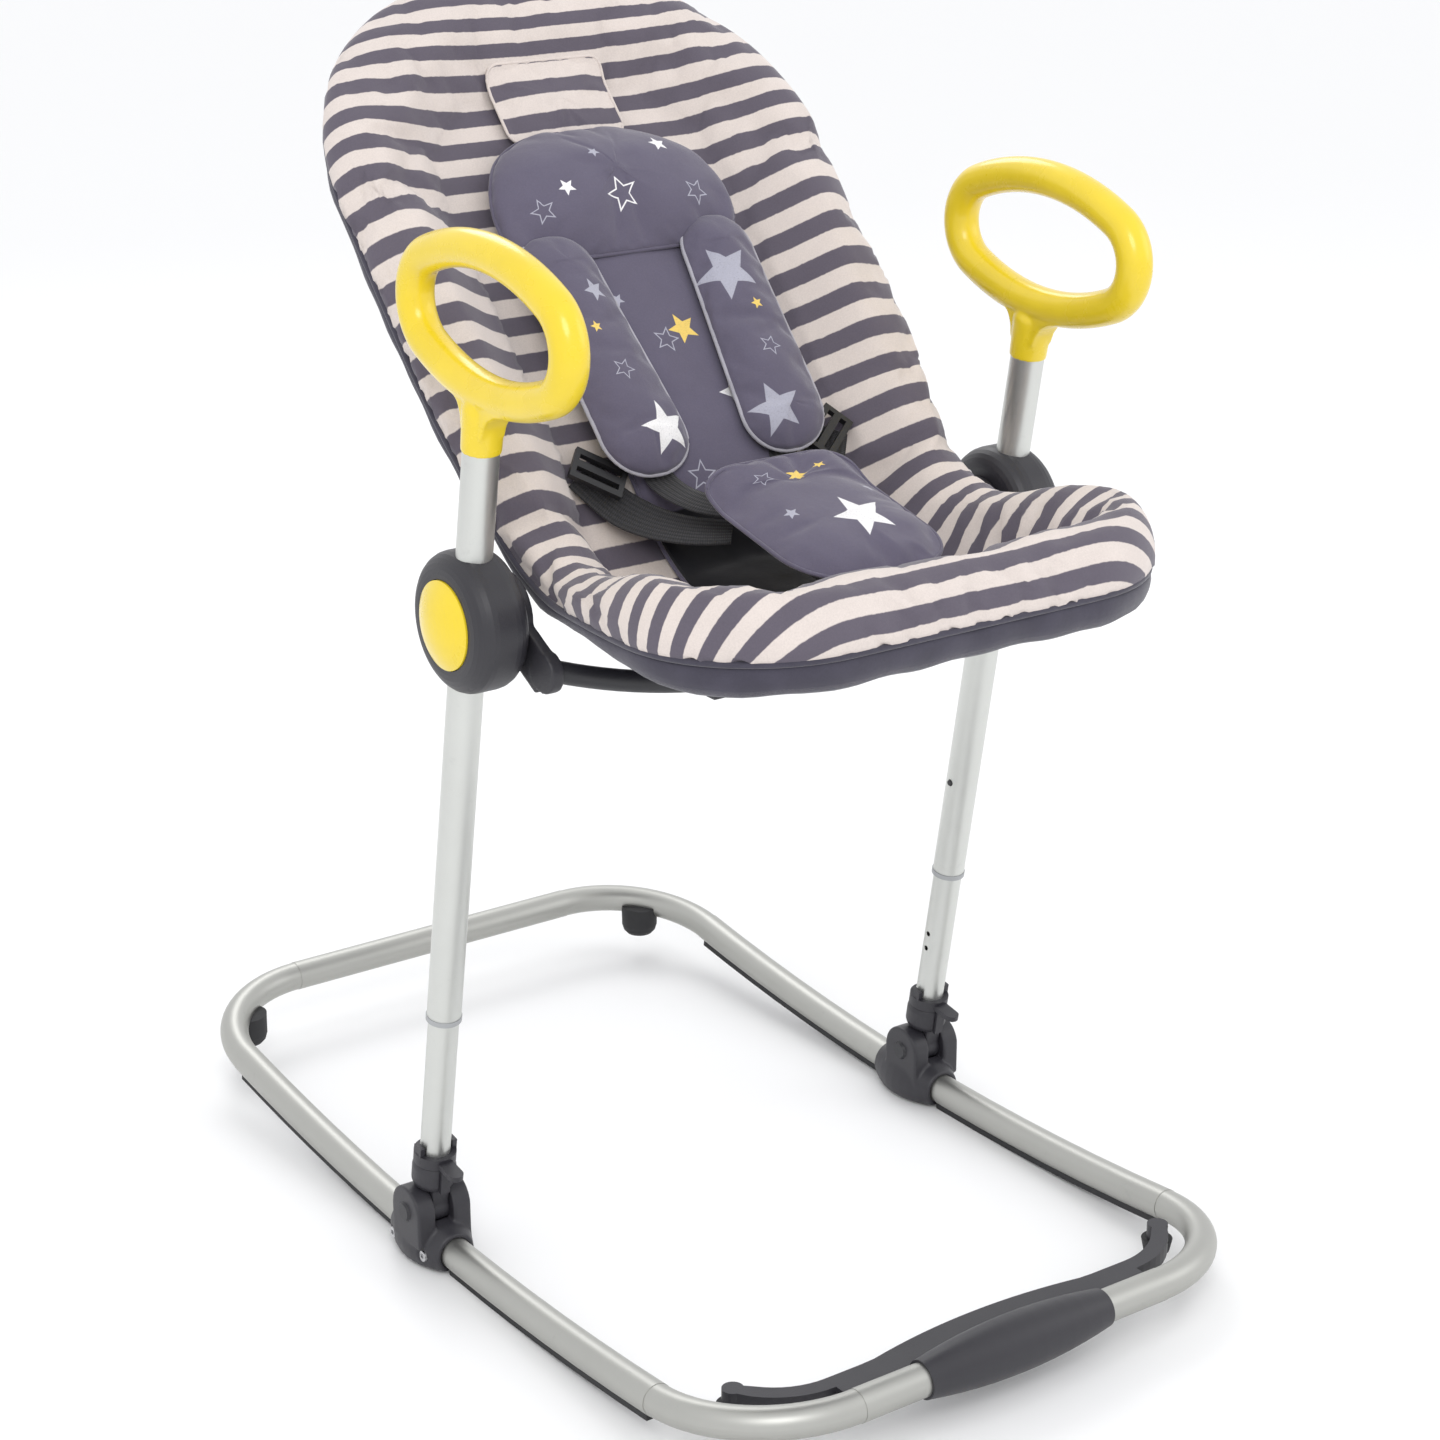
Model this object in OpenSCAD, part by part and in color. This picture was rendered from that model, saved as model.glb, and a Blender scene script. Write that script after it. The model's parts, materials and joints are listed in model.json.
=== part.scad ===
// Height-adjustable baby bouncer seat on a rocking tube base.
// +Z is up, -Y is the foot end of the seat, X is symmetric left and right.

/* [Base loop] */
// Half distance between the side tube centres
side_x = 240; // [200:5:280]
// Radius of the base loop tube
tube_r = 12.5; // [10:0.5:16]
// Wall of the base loop tube
tube_wall = 1.5; // [1:0.1:3]
// Radius of the rocking curve at the tube centre
rock_r = 2566; // [1800:1:4000]
// Y of the lowest point of the rocking curve
rock_y = -56; // [-120:1:60]
// Y where the rear corner bends start
rear_y = 314.5; // [250:0.5:360]
// Y where the front corner bends start
front_y = -308; // [-360:0.5:-250]
// Bend radius of the four corners
corner_r = 100; // [60:5:140]
// Thickness of the anti-slip strip under the side tubes
strip_t = 3; // [2:0.5:5]

/* [Posts] */
// Half distance between the two posts
post_x = 242; // [210:1:280]
// Forward lean of the posts in degrees
lean = 10; // [0:0.5:20]
// Height of the fold pivot above the floor
pivot_z = 46; // [40:1:60]
// Radius of the inner post tube
inner_r = 11.7; // [9:0.1:14]
// Radius of the outer post tube
outer_r = 13; // [11:0.1:16]
// Length of the inner tube above the pivot
inner_top = 516; // [420:1:540]
// Distance from the pivot to the lower lip of the outer tube
lip_s = 175; // [140:1:240]
// Distance from the pivot to the hub centre
hub_s = 503; // [440:1:540]
// Distance from the pivot to the bottom of the grip
grip_s = 630; // [590:1:660]
// Spacing of the four height stops along the slot
hole_step = 34; // [30:1:50]

/* [Hub] */
// Radius of the hub body
hub_r = 51; // [40:1:60]
// Radius of the push button
button_r = 32; // [25:0.1:40]
// Radius of the recline trunnion
trunnion_r = 8; // [5:0.5:12]

/* [Grip ring] */
// Half length of the ring at the middle of the bar
ring_a = 98.3; // [70:0.1:120]
// Half height of the ring at the middle of the bar
ring_b = 47.7; // [35:0.1:60]
// Radius of the ring bar
ring_bar = 13.5; // [10:0.5:16]
// Radius of the bends at the two ends of the ring
ring_end_r = 34; // [25:1:45]
// Turn of the ring against the post in degrees
ring_turn = -7; // [-15:1:15]

/* [Seat shell] */
// Y of the head end of the seat edge
head_y = 222; // [180:1:260]
// Z of the head end of the seat edge
head_z = 908; // [850:1:950]
// Y of the bend between back and seat
knee_y = -95; // [-120:1:-60]
// Z of the bend between back and seat
knee_z = 558; // [520:1:600]
// Y of the foot end of the seat edge
foot_y = -326; // [-360:1:-280]
// Z of the foot end of the seat edge
foot_z = 564; // [520:1:600]
// Bend radius between back and seat
knee_r = 110; // [80:5:150]
// Half width of the seat edge at the back
half_w = 190; // [160:1:200]
// Narrowing of the seat edge beside the hubs
waist = 13; // [0:1:25]
// Radius of the padded edge roll
roll_r = 24; // [15:1:30]
// Extra height share of the roll along the foot end
foot_swell = 0.72; // [0:0.02:1]
// Corner radius of the head end
head_cr = 150; // [90:5:180]
// Corner radius of the foot end
foot_cr = 84; // [50:2:120]

/* [Hidden] */
rail_r = 7;
lap = 1;
skim = 0.35;
rail_drop = 12;
tube_z = strip_t + tube_r;
rear_a = asin((rear_y - rock_y) / rock_r);
front_a = asin((rock_y - front_y) / rock_r);
rear_z = tube_z + rock_r * (1 - cos(rear_a));
front_z = tube_z + rock_r * (1 - cos(front_a));
bar_front_y = front_y - corner_r * cos(front_a);
bar_front_z = front_z + corner_r * sin(front_a);
bar_rear_y = rear_y + corner_r * cos(rear_a);
bar_rear_z = rear_z + corner_r * sin(rear_a);
bar_half = side_x - corner_r;
pivot_y = 4 - (pivot_z - tube_z) * tan(lean);
hub_y = pivot_y - hub_s * sin(lean);
hub_z = pivot_z + hub_s * cos(lean);
hub_in = 219;
hub_out = 263;
lip_r = outer_r + 0.6;
ring_s = grip_s + 91.7;
fork_in = post_x - 8;
fork_out = post_x + 8;
charcoal = [0.22, 0.22, 0.24];
silver = [0.78, 0.79, 0.8];
yellow = [0.95, 0.8, 0.12];
slate = [0.42, 0.4, 0.5];
steel = [0.6, 0.6, 0.62];
black = [0.08, 0.08, 0.09];

// Seat edge profile: straight back, knee bend, straight seat, measured from the head end.
back_v = [head_y - knee_y, head_z - knee_z];
seat_v = [foot_y - knee_y, foot_z - knee_z];
back_u = back_v / norm(back_v);
seat_u = seat_v / norm(seat_v);
knee_open = acos(back_u * seat_u);
knee_cut = knee_r / tan(knee_open / 2);
turn = 180 - knee_open;
len_back = norm(back_v) - knee_cut;
len_bend = knee_r * turn * PI / 180;
len_seat = norm(seat_v) - knee_cut;
len_all = len_back + len_bend + len_seat;
back_n = [-back_u[1], back_u[0]];
bend_c = [knee_y, knee_z] + back_u * knee_cut + back_n * knee_r;

function clamp(v, a, b) = min(max(v, a), b);
function smooth(t) = let (c = clamp(t, 0, 1)) c * c * (3 - 2 * c);
function mix(a, b, t) = a + (b - a) * t;
function spin(v, a) = [v[0] * cos(a) - v[1] * sin(a), v[0] * sin(a) + v[1] * cos(a)];
function bend_a(s) = clamp((s - len_back) / len_bend, 0, 1) * turn;
function nrm(s) = spin(back_n, -bend_a(s));
function tang(s) = spin(-back_u, -bend_a(s));
function pos(s) =
    s < len_back ? [head_y, head_z] - back_u * s
    : s > len_back + len_bend ? [foot_y, foot_z] - seat_u * (len_all - s)
    : bend_c - nrm(s) * knee_r;
function at(x, s, h) = let (p = pos(s) + nrm(s) * h) [x, p[0], p[1]];

// Seat edge outline in the unrolled sheet.
waist_s = len_back + len_bend * 0.45;
function width_at(s) = half_w - waist * exp(-pow((s - waist_s) / 95, 2));
function inside(x, s) =
    let (q = abs(x) * half_w / width_at(s),
         c = s < len_all / 2 ? head_cr : foot_cr,
         a = q - half_w + c,
         b = abs(s - len_all / 2) - len_all / 2 + c)
    c - norm([max(a, 0), max(b, 0)]) - min(max(a, b), 0);
function reach(s, grow) =
    let (c = (s < len_all / 2 ? head_cr : foot_cr) + grow,
         b = max(abs(s - len_all / 2) - len_all / 2 + c - grow, 0),
         k = c * c - b * b)
    (half_w + grow - c + sqrt(max(k, 0))) * width_at(s) / half_w;
function seat_part(s) = smooth((s - len_back + 60) / 170);
function dish(s) = mix(12, 40, seat_part(s)) - 22 * smooth((s - len_all + 120) / 120);

// The edge roll stands taller along the foot end.
function swell(s) = 1 + foot_swell * smooth((s - len_all + 190) / 120);

// Heights above the edge line: padding top, padding underside, shell underside.
function pad_top(x, s) =
    let (e = inside(x, s))
    e < 0 ? swell(s) * sqrt(max(roll_r * roll_r - e * e, 0)) + 1
    : mix(swell(s) * roll_r + 1, -dish(s), smooth(e / 68));
function pad_under(x, s) =
    let (e = inside(x, s))
    mix(-1, -dish(s) - 15, smooth((e - 14) / 70));
function shell_top(x, s) =
    let (e = inside(x, s))
    e < 10 ? mix(-3.6, -22, smooth((e + roll_r - 1) / 10))
    : mix(-22, -dish(s) - 17.4, smooth((e - 10) / 74));

module skin(n, m, s0, s1, grow, kind) {
    // Closed sheet body over the unrolled seat outline between two height functions.
    function hi(x, s) = kind == 0 ? pad_top(x, s) : shell_top(x, s);
    function lo(x, s) = kind == 0 ? pad_under(x, s) : shell_top(x, s) - 5;
    ss = [for (i = [0:n]) let (t = i / n) s0 + (s1 - s0) * (0.5 - 0.5 * cos(180 * t))];
    xs = [for (j = [0:m]) sin(90 * (2 * j / m - 1))];
    top = [for (s = ss) for (q = xs) let (x = q * reach(s, grow)) at(x, s, hi(x, s))];
    low = [for (s = ss) for (q = xs) let (x = q * reach(s, grow)) at(x, s, lo(x, s))];
    closed_sheet(top, low, n, m);
}

module closed_sheet(top, low, n, m) {
    w = m + 1;
    k = len(top);
    faces = [
        for (i = [0:n - 1]) for (j = [0:m - 1]) each [
            [i * w + j, i * w + j + 1, (i + 1) * w + j + 1],
            [i * w + j, (i + 1) * w + j + 1, (i + 1) * w + j],
            [k + i * w + j, k + (i + 1) * w + j + 1, k + i * w + j + 1],
            [k + i * w + j, k + (i + 1) * w + j, k + (i + 1) * w + j + 1]
        ],
        for (j = [0:m - 1]) each [
            [j, k + j, k + j + 1],
            [j, k + j + 1, j + 1],
            [n * w + j, k + n * w + j + 1, k + n * w + j],
            [n * w + j, n * w + j + 1, k + n * w + j + 1]
        ],
        for (i = [0:n - 1]) each [
            [i * w, (i + 1) * w, k + (i + 1) * w],
            [i * w, k + (i + 1) * w, k + i * w],
            [i * w + m, k + i * w + m, k + (i + 1) * w + m],
            [i * w + m, k + (i + 1) * w + m, (i + 1) * w + m]
        ]
    ];
    polyhedron(points = concat(top, low), faces = faces, convexity = 6);
}

module pad(n, m, s0, s1, x0, x1, w0, w1, thick, lift, round_s, free = [0, 0]) {
    // Cushion lying on the padding, or between two free heights: centre x0 to x1, half width w0 to w1.
    function cx(t) = mix(x0, x1, t);
    function end_t(t) =
        let (l = abs(s1 - s0), d = min(t, 1 - t) * l, r = round_s)
        d >= r ? 1 : sqrt(max(1 - pow(1 - d / r, 2), 0.02));
    function hw(t) = mix(w0, w1, smooth(t)) * (0.35 + 0.65 * end_t(t));
    function puff(q, t) = thick * (0.25 + 0.75 * sqrt(max(1 - pow(abs(q), 3), 0)) * end_t(t));
    ts = [for (i = [0:n]) 0.5 - 0.5 * cos(180 * i / n)];
    qs = [for (j = [0:m]) sin(90 * (2 * j / m - 1))];
    function base(x, s, t) = free[0] == 0 ? pad_top(x, s) + lift : mix(free[0], free[1], t);
    low = [for (t = ts) for (q = qs)
        let (x = cx(t) + q * hw(t), s = mix(s0, s1, t)) at(x, s, base(x, s, t))];
    top = [for (t = ts) for (q = qs)
        let (x = cx(t) + q * hw(t), s = mix(s0, s1, t))
        at(x, s, base(x, s, t) + puff(q, t))];
    closed_sheet(top, low, n, m);
}

module ribbon(path, w, t, n) {
    // Flat webbing through [x, s, height over the padding] points.
    k = len(path) - 1;
    function pick(i) = path[clamp(i, 0, k)];
    function curve(u) =
        let (i = min(floor(u * k), k - 1), f = u * k - i,
             a = pick(i - 1), b = pick(i), c = pick(i + 1), d = pick(i + 2))
        0.5 * (2 * b + (c - a) * f + (2 * a - 5 * b + 4 * c - d) * f * f
            + (3 * b - a - 3 * c + d) * f * f * f);
    function across(u) =
        let (a = curve(max(u - 0.02, 0)), b = curve(min(u + 0.02, 1)), v = [a[1] - b[1], b[0] - a[0]])
        v / norm(v);
    function spot(u, q, up) =
        let (c = curve(u), v = across(u), x = c[0] + v[0] * q * w / 2, s = c[1] + v[1] * q * w / 2)
        at(x, s, pad_top(c[0], c[1]) + c[2] + up);
    top = [for (i = [0:n]) for (q = [-1, 0, 1]) spot(i / n, q, t)];
    low = [for (i = [0:n]) for (q = [-1, 0, 1]) spot(i / n, q, 0)];
    closed_sheet(top, low, n, 2);
}

module on_seat(x, s, h, pitch) {
    // Local frame on the seat: x across, y towards the head, z away from the padding.
    a = atan2(-nrm(s)[0], nrm(s)[1]);
    translate(at(x, s, h)) rotate([a + pitch, 0, 0]) children();
}

module sides() {
    children();
    mirror([1, 0, 0]) children();
}

module side(k) {
    if (k > 0) children();
    if (k < 0) mirror([1, 0, 0]) children();
}

module post() {
    translate([post_x, pivot_y, pivot_z]) rotate([lean, 0, 0]) children();
}

module along_x(x0, x1, y, z, r, r2 = -1) {
    translate([x0, y, z]) rotate([0, 90, 0]) cylinder(h = x1 - x0, r1 = r, r2 = r2 < 0 ? r : r2, $fn = 48);
}

module pipe(h, r, bore) {
    difference() {
        cylinder(h = h, r = r, $fn = 48);
        translate([0, 0, -1]) cylinder(h = h + 2, r = bore, $fn = 48);
    }
}

module rock_sweep(y0, y1) {
    // Sweeps a profile along the rocking curve: profile x is across, profile -y is down.
    a0 = asin((y0 - rock_y) / rock_r);
    a1 = asin((y1 - rock_y) / rock_r);
    translate([0, rock_y, tube_z + rock_r]) rotate([0, 90, 0]) rotate([0, 0, a0])
        rotate_extrude(angle = a1 - a0, $fn = 180) rotate(90) children();
}

module side_core(r) {
    translate([side_x, 0, 0]) rock_sweep(front_y, rear_y) translate([0, -rock_r]) circle(r = r, $fn = 48);
}

module corner_core(y, z, a, r) {
    translate([side_x - corner_r, y, z]) rotate([a, 0, 0])
        rotate_extrude(angle = 90, $fn = 96) translate([corner_r, 0]) circle(r = r, $fn = 48);
}

module loop_core(r) {
    // Straight runs reach a little into the corner bends so that the pieces fuse cleanly.
    sides() {
        translate([side_x, 0, 0]) rock_sweep(front_y - lap, rear_y + lap) translate([0, -rock_r])
            circle(r = r, $fn = 48);
        corner_core(rear_y, rear_z, rear_a, r - skim);
        mirror([0, 1, 0]) corner_core(-front_y, front_z, front_a, r - skim);
    }
    along_x(-bar_half - lap, bar_half + lap, bar_front_y, bar_front_z, r);
    along_x(-bar_half - lap, bar_half + lap, bar_rear_y, bar_rear_z, r);
}

module base_loop() {
    color(silver) difference() {
        loop_core(tube_r);
        loop_core(tube_r - tube_wall);
    }
}

module strip_piece(y0, y1) {
    // The sweep is a little deeper than the strip, and the floor plane trims it to a flat rest land.
    difference() {
        translate([side_x, 0, 0]) rock_sweep(y0, y1) translate([0, -rock_r]) difference() {
            translate([-7, -tube_r - strip_t - 0.2]) square([14, strip_t + 4]);
            circle(r = tube_r, $fn = 48);
        }
        translate([side_x - 20, y0 - 20, -5]) cube([40, y1 - y0 + 40, 5]);
    }
}

module anti_slip_strips() {
    color(black) sides() {
        strip_piece(front_y + 4, -34);
        strip_piece(42, rear_y - 4);
    }
}

module rear_feet() {
    // Soft stops under the two rear corners.
    color(black) sides() difference() {
        translate([side_x - corner_r + 66, rear_y + 66, 22]) rotate_extrude($fn = 60)
            polygon([[0, 0], [8, 0], [12, 1.6], [15, 5], [16.5, 10], [16.8, 29], [0, 29]]);
        corner_core(rear_y, rear_z, rear_a, tube_r - skim);
        translate([side_x - corner_r, rear_y, rear_z]) rotate([rear_a, 0, 0])
            translate([-20, -20, 0]) cube([160, 160, 60]);
    }
}

module housing_body() {
    difference() {
        union() {
            translate([side_x, 4, tube_z]) intersection() {
                rotate([90, 0, 0]) rotate_extrude($fn = 72)
                    polygon(concat([[0, -37]], [for (i = [-4:4]) [26 - 10 * i * i / 16, 9.25 * i]], [[0, 37]]));
                translate([-40, -50, 2.5 - tube_z]) cube([80, 100, 60]);
            }
            for (x = [post_x - 23.4, fork_out])
                along_x(x, x + 15.4, pivot_y, pivot_z, 20.5);
            for (x = [post_x - 23.4, fork_out])
                translate([x, pivot_y - 20.5, 20]) cube([15.4, 41, pivot_z - 20]);
        }
        side_core(tube_r);
        along_x(post_x - 30, post_x + 30, pivot_y, pivot_z, 4);
        along_x(fork_in, fork_out, pivot_y, pivot_z, 15.2);
        translate([fork_in, pivot_y - 30, pivot_z - 0.1]) cube([fork_out - fork_in, 60, 30]);
        for (y = [-19, 27])
            along_x(side_x + 19, side_x + 30, y, 14, 4.6);
    }
}

module pivot_housing_left() {
    color(charcoal) side(-1) housing_body();
}

module pivot_housing_right() {
    color(charcoal) side(1) housing_body();
}

module pivot_axles() {
    color(steel) sides() {
        along_x(post_x - 23.4, post_x + 23.4, pivot_y, pivot_z, 4);
        along_x(post_x + 23.4, post_x + 25.4, pivot_y, pivot_z, 8, 6.5);
        along_x(post_x - 25.4, post_x - 23.4, pivot_y, pivot_z, 6.5, 8);
    }
}

module housing_screws() {
    color(steel) sides() for (y = [-19, 27]) difference() {
        along_x(side_x + 19, side_x + 22, y, 14, 4.4);
        translate([side_x + 20.6, y, 14]) rotate([0, 90, 0]) cylinder(h = 3, r = 2.2, $fn = 6);
    }
}

module knuckle_body() {
    difference() {
        union() {
            along_x(post_x - 7.8, post_x + 7.8, pivot_y, pivot_z, 14);
            post() {
                translate([-7.4, -12.6, 0]) cube([14.8, 25.2, 24]);
                translate([0, 0, 21.5]) cylinder(h = 4, r1 = 15.4, r2 = 17, $fn = 48);
                translate([0, 0, 25.5]) cylinder(h = 12.5, r = 17, $fn = 48);
                translate([0, 0, 38]) cylinder(h = 4, r1 = 17, r2 = 15.5, $fn = 48);
            }
        }
        post() translate([0, 0, 24]) cylinder(h = 40, r = inner_r, $fn = 48);
        along_x(post_x - 12, post_x + 12, pivot_y, pivot_z, 4.05);
        post() translate([-4.5, -20, 20]) cube([9, 4.6, 24]);
    }
}

module pivot_knuckle_left() {
    color(charcoal) side(-1) knuckle_body();
}

module pivot_knuckle_right() {
    color(charcoal) side(1) knuckle_body();
}

module inner_body() {
    post() difference() {
        translate([0, 0, 24]) pipe(inner_top - 24, inner_r, inner_r - 1.4);
        for (k = [0:3])
            translate([0, 0, hub_s - k * hole_step]) rotate([0, 90, 0]) cylinder(h = 30, r = 4, $fn = 32);
        translate([0, -3.1, hub_s - 3 * hole_step]) cube([30, 6.2, 3 * hole_step]);
        for (k = [0:1])
            translate([0, 0, 100 + 14 * k]) rotate([0, -90, 0]) cylinder(h = 30, r = 2.2, $fn = 32);
    }
}

module inner_post_left() {
    color(silver) side(-1) inner_body();
}

module inner_post_right() {
    color(silver) side(1) inner_body();
}

module latch_body() {
    // Sliding collar on the inner post with a finger tab and a locking tongue.
    post() {
        translate([0, 0, 42.4]) difference() {
            union() {
                cylinder(h = 9, r = 16.4, $fn = 48);
                translate([-6, -31, 2]) cube([12, 18, 4.5]);
                translate([0, -31, 2]) cylinder(h = 4.5, r = 6, $fn = 32);
                for (x = [-16, 12])
                    translate([x, -5, 8]) cube([4, 10, 8]);
            }
            translate([0, 0, -1]) cylinder(h = 20, r = inner_r + 0.05, $fn = 48);
        }
        translate([-4, -18.6, 21.5]) cube([8, 3, 22]);
    }
}

module fold_latch_left() {
    color(charcoal) side(-1) latch_body();
}

module fold_latch_right() {
    color(charcoal) side(1) latch_body();
}

module outer_body() {
    post() difference() {
        translate([0, 0, lip_s]) pipe(grip_s + 16 - lip_s, outer_r, inner_r + 0.3);
        translate([0, 0, hub_s]) rotate([0, 90, 0]) cylinder(h = 30, r = 3.4, $fn = 32);
        translate([0, 0, lip_s + 85]) rotate([0, -90, 0]) cylinder(h = 30, r = 3, $fn = 32);
    }
}

module outer_post_left() {
    color(silver) side(-1) outer_body();
}

module outer_post_right() {
    color(silver) side(1) outer_body();
}

module post_bushings() {
    color(steel) sides() post() {
        translate([0, 0, lip_s - 4]) pipe(4, lip_r, inner_r + 0.08);
    }
}

module post_snap_buttons() {
    // Small round stop buttons seated in the outer posts.
    color(black) sides() post()
        translate([-outer_r + 1.1, 0, lip_s + 85]) rotate([0, -90, 0]) cylinder(h = 2.2, r1 = 2.9, r2 = 2.2, $fn = 32);
}

// Half section of a disc with both rims rounded in short steps.
function rounded_disc(r, h, c) = concat(
    [[0, 0]],
    [for (a = [0:15:90]) [r - c + c * sin(a), c - c * cos(a)]],
    [for (a = [0:15:90]) [r - c + c * cos(a), h - c + c * sin(a)]],
    [[0, h]]);

module hub_body() {
    difference() {
        translate([hub_in, hub_y, hub_z]) rotate([0, 90, 0]) rotate_extrude($fn = 96)
            polygon(rounded_disc(hub_r, hub_out - hub_in, 15));
        post() translate([0, 0, hub_s - 80]) cylinder(h = 160, r = outer_r, $fn = 48);
        along_x(hub_out - 6, hub_out + 4, hub_y, hub_z, button_r + 0.5);
        along_x(hub_in - 1, hub_in + 9.5, hub_y, hub_z, trunnion_r + 0.05);
        along_x(post_x, hub_out, hub_y, hub_z, 3.4);
        translate([hub_out - 7.6, hub_y, hub_z]) rotate([0, 90, 0]) rotate_extrude($fn = 72)
            translate([18.8, 0]) square([2.4, 4]);
        for (a = [60, 180, 300])
            along_x(hub_in - 1, hub_in + 2, hub_y + 32 * cos(a), hub_z + 32 * sin(a), 4.2);
    }
}

module hub_left() {
    color(charcoal) side(-1) hub_body();
}

module hub_right() {
    color(charcoal) side(1) hub_body();
}

module hub_screws() {
    color(steel) sides() for (a = [60, 180, 300]) difference() {
        along_x(hub_in + 0.2, hub_in + 2, hub_y + 32 * cos(a), hub_z + 32 * sin(a), 4);
        translate([hub_in - 1, hub_y + 32 * cos(a), hub_z + 32 * sin(a)]) rotate([0, 90, 0])
            cylinder(h = 2.2, r = 2, $fn = 6);
    }
}

module button_springs() {
    // Return springs at their pressed length, lying in a groove below the button.
    color(steel) sides() translate([hub_out - 7.5, hub_y, hub_z]) rotate([0, 90, 0]) rotate_extrude($fn = 72)
        for (k = [0:1])
            translate([20, 0.5 + k]) circle(r = 0.48, $fn = 24);
}

module button_body() {
    // Shallow domed cap with a socket for the lock pin.
    dome = 62;
    rise = 12.5;
    pts = [for (i = [0:8]) let (r = button_r * (1 - i / 8)) [r, rise - dome + sqrt(dome * dome - r * r)]];
    difference() {
        translate([hub_out - 2.4, hub_y, hub_z]) rotate([0, 90, 0]) rotate_extrude($fn = 96)
            polygon(concat([[0, 0], [button_r, 0]], pts));
        along_x(hub_out - 4, hub_out + 3.2, hub_y, hub_z, 3.5);
    }
}

module hub_button_left() {
    color(yellow) side(-1) button_body();
}

module hub_button_right() {
    color(yellow) side(1) button_body();
}

module pin_body() {
    along_x(post_x + 9.8, hub_out - 3.6, hub_y, hub_z, 3);
}

module lock_pin_left() {
    color(steel) side(-1) pin_body();
}

module lock_pin_right() {
    color(steel) side(1) pin_body();
}

module ring_loop() {
    // Four-arc oval in the local YZ plane.
    d = ring_a - ring_end_r;
    big = (d * d + ring_b * ring_b - ring_end_r * ring_end_r) / (2 * (ring_b - ring_end_r));
    open = atan2(d, big - ring_b);
    rotate([0, 90, 0]) for (k = [0, 180]) rotate([0, 0, k]) {
        translate([big - ring_b, 0, 0]) rotate([0, 0, 180 - open - 0.3])
            rotate_extrude(angle = 2 * open + 0.6, $fn = 120) translate([big, 0])
                circle(r = ring_bar - 0.02, $fn = 48);
        translate([0, d, 0]) rotate([0, 0, open])
            rotate_extrude(angle = 180 - 2 * open, $fn = 96) translate([ring_end_r, 0])
                circle(r = ring_bar, $fn = 48);
    }
}

module grip_body() {
    post() difference() {
        union() {
            translate([0, 0, ring_s]) rotate([ring_turn, 0, 0]) ring_loop();
            translate([0, 0, grip_s]) cylinder(h = 32, r1 = 14.2, r2 = 15.2, $fn = 48);
            translate([0, 0, grip_s + 32]) cylinder(h = 6, r1 = 15.2, r2 = 12, $fn = 48);
            translate([-10.5, 0, grip_s]) rotate([90, 0, 90]) linear_extrude(height = 21)
                polygon([[-13, 14], [13, 14], [15, 23], [19, 30], [27, 36], [38, 40],
                    [-38, 40], [-27, 36], [-19, 30], [-15, 23]]);
        }
        translate([0, 0, grip_s - 1]) cylinder(h = 17, r = outer_r, $fn = 48);
    }
}

module grip_ring_left() {
    color(yellow) side(-1) grip_body();
}

module grip_ring_right() {
    color(yellow) side(1) grip_body();
}

module bracket_body() {
    // Trunnion disc with an arm that carries one end of the bowed under-seat tube.
    along_x(hub_in - 11, hub_in - 1, hub_y, hub_z, 30);
    along_x(hub_in - 1.5, hub_in + 9, hub_y, hub_z, trunnion_r);
    along_x(hub_in - 11, hub_in - 1, yoke_y, yoke_end_z, 15);
    arm_y = yoke_y - hub_y;
    arm_z = yoke_end_z - hub_z;
    translate([hub_in - 10.6, hub_y, hub_z]) rotate([atan2(arm_z, arm_y), 0, 0])
        translate([0, 0, -13.5]) cube([9.2, norm([arm_y, arm_z]), 34]);
}

module hub_bracket_left() {
    color(charcoal) side(-1) bracket_body();
}

module hub_bracket_right() {
    color(charcoal) side(1) bracket_body();
}

yoke_y = -142;
yoke_end_z = 512;
yoke_low_z = 474;
yoke_tube_r = 8;
yoke_w = hub_in - 10.9;
yoke_sag = yoke_end_z - yoke_low_z;
yoke_big = (yoke_w * yoke_w + yoke_sag * yoke_sag) / (2 * yoke_sag);
yoke_a = asin(yoke_w / yoke_big) + 1;

module yoke_core(r) {
    translate([0, yoke_y, yoke_low_z + yoke_big]) rotate([90, 0, 0]) rotate([0, 0, 270 - yoke_a])
        rotate_extrude(angle = 2 * yoke_a, $fn = 180) translate([yoke_big, 0]) circle(r = r, $fn = 40);
}

module seat_yoke() {
    color(charcoal) difference() {
        yoke_core(yoke_tube_r);
        sides() along_x(hub_in - 11, hub_in + 12, yoke_y, yoke_end_z, 20);
    }
}

module yoke_saddles() {
    // Blocks that join the bowed tube to the seat shell.
    color(charcoal) sides() difference() {
        translate([42, yoke_y - 17, yoke_low_z - 4]) cube([42, 34, 27]);
        yoke_core(yoke_tube_r);
        translate([42, yoke_y - 7, yoke_low_z - 6]) cube([42, 12, 10]);
    }
}

module rail_bend(a0, a1, r) {
    rotate([0, 0, a0]) rotate_extrude(angle = a1 - a0, $fn = 96) translate([r, 0]) circle(r = rail_r, $fn = 32);
}

module straight(p, q, r) {
    v = q - p;
    l = norm(v);
    translate(p) rotate([0, acos(v[2] / l), atan2(v[1], v[0])]) translate([0, 0, -lap])
        cylinder(h = l + 2 * lap, r = r - skim, $fn = 32);
}

rail_back_z = atan2(back_u[1], back_u[0]);
rail_seat_z = atan2(-seat_u[1], -seat_u[0]);

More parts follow.
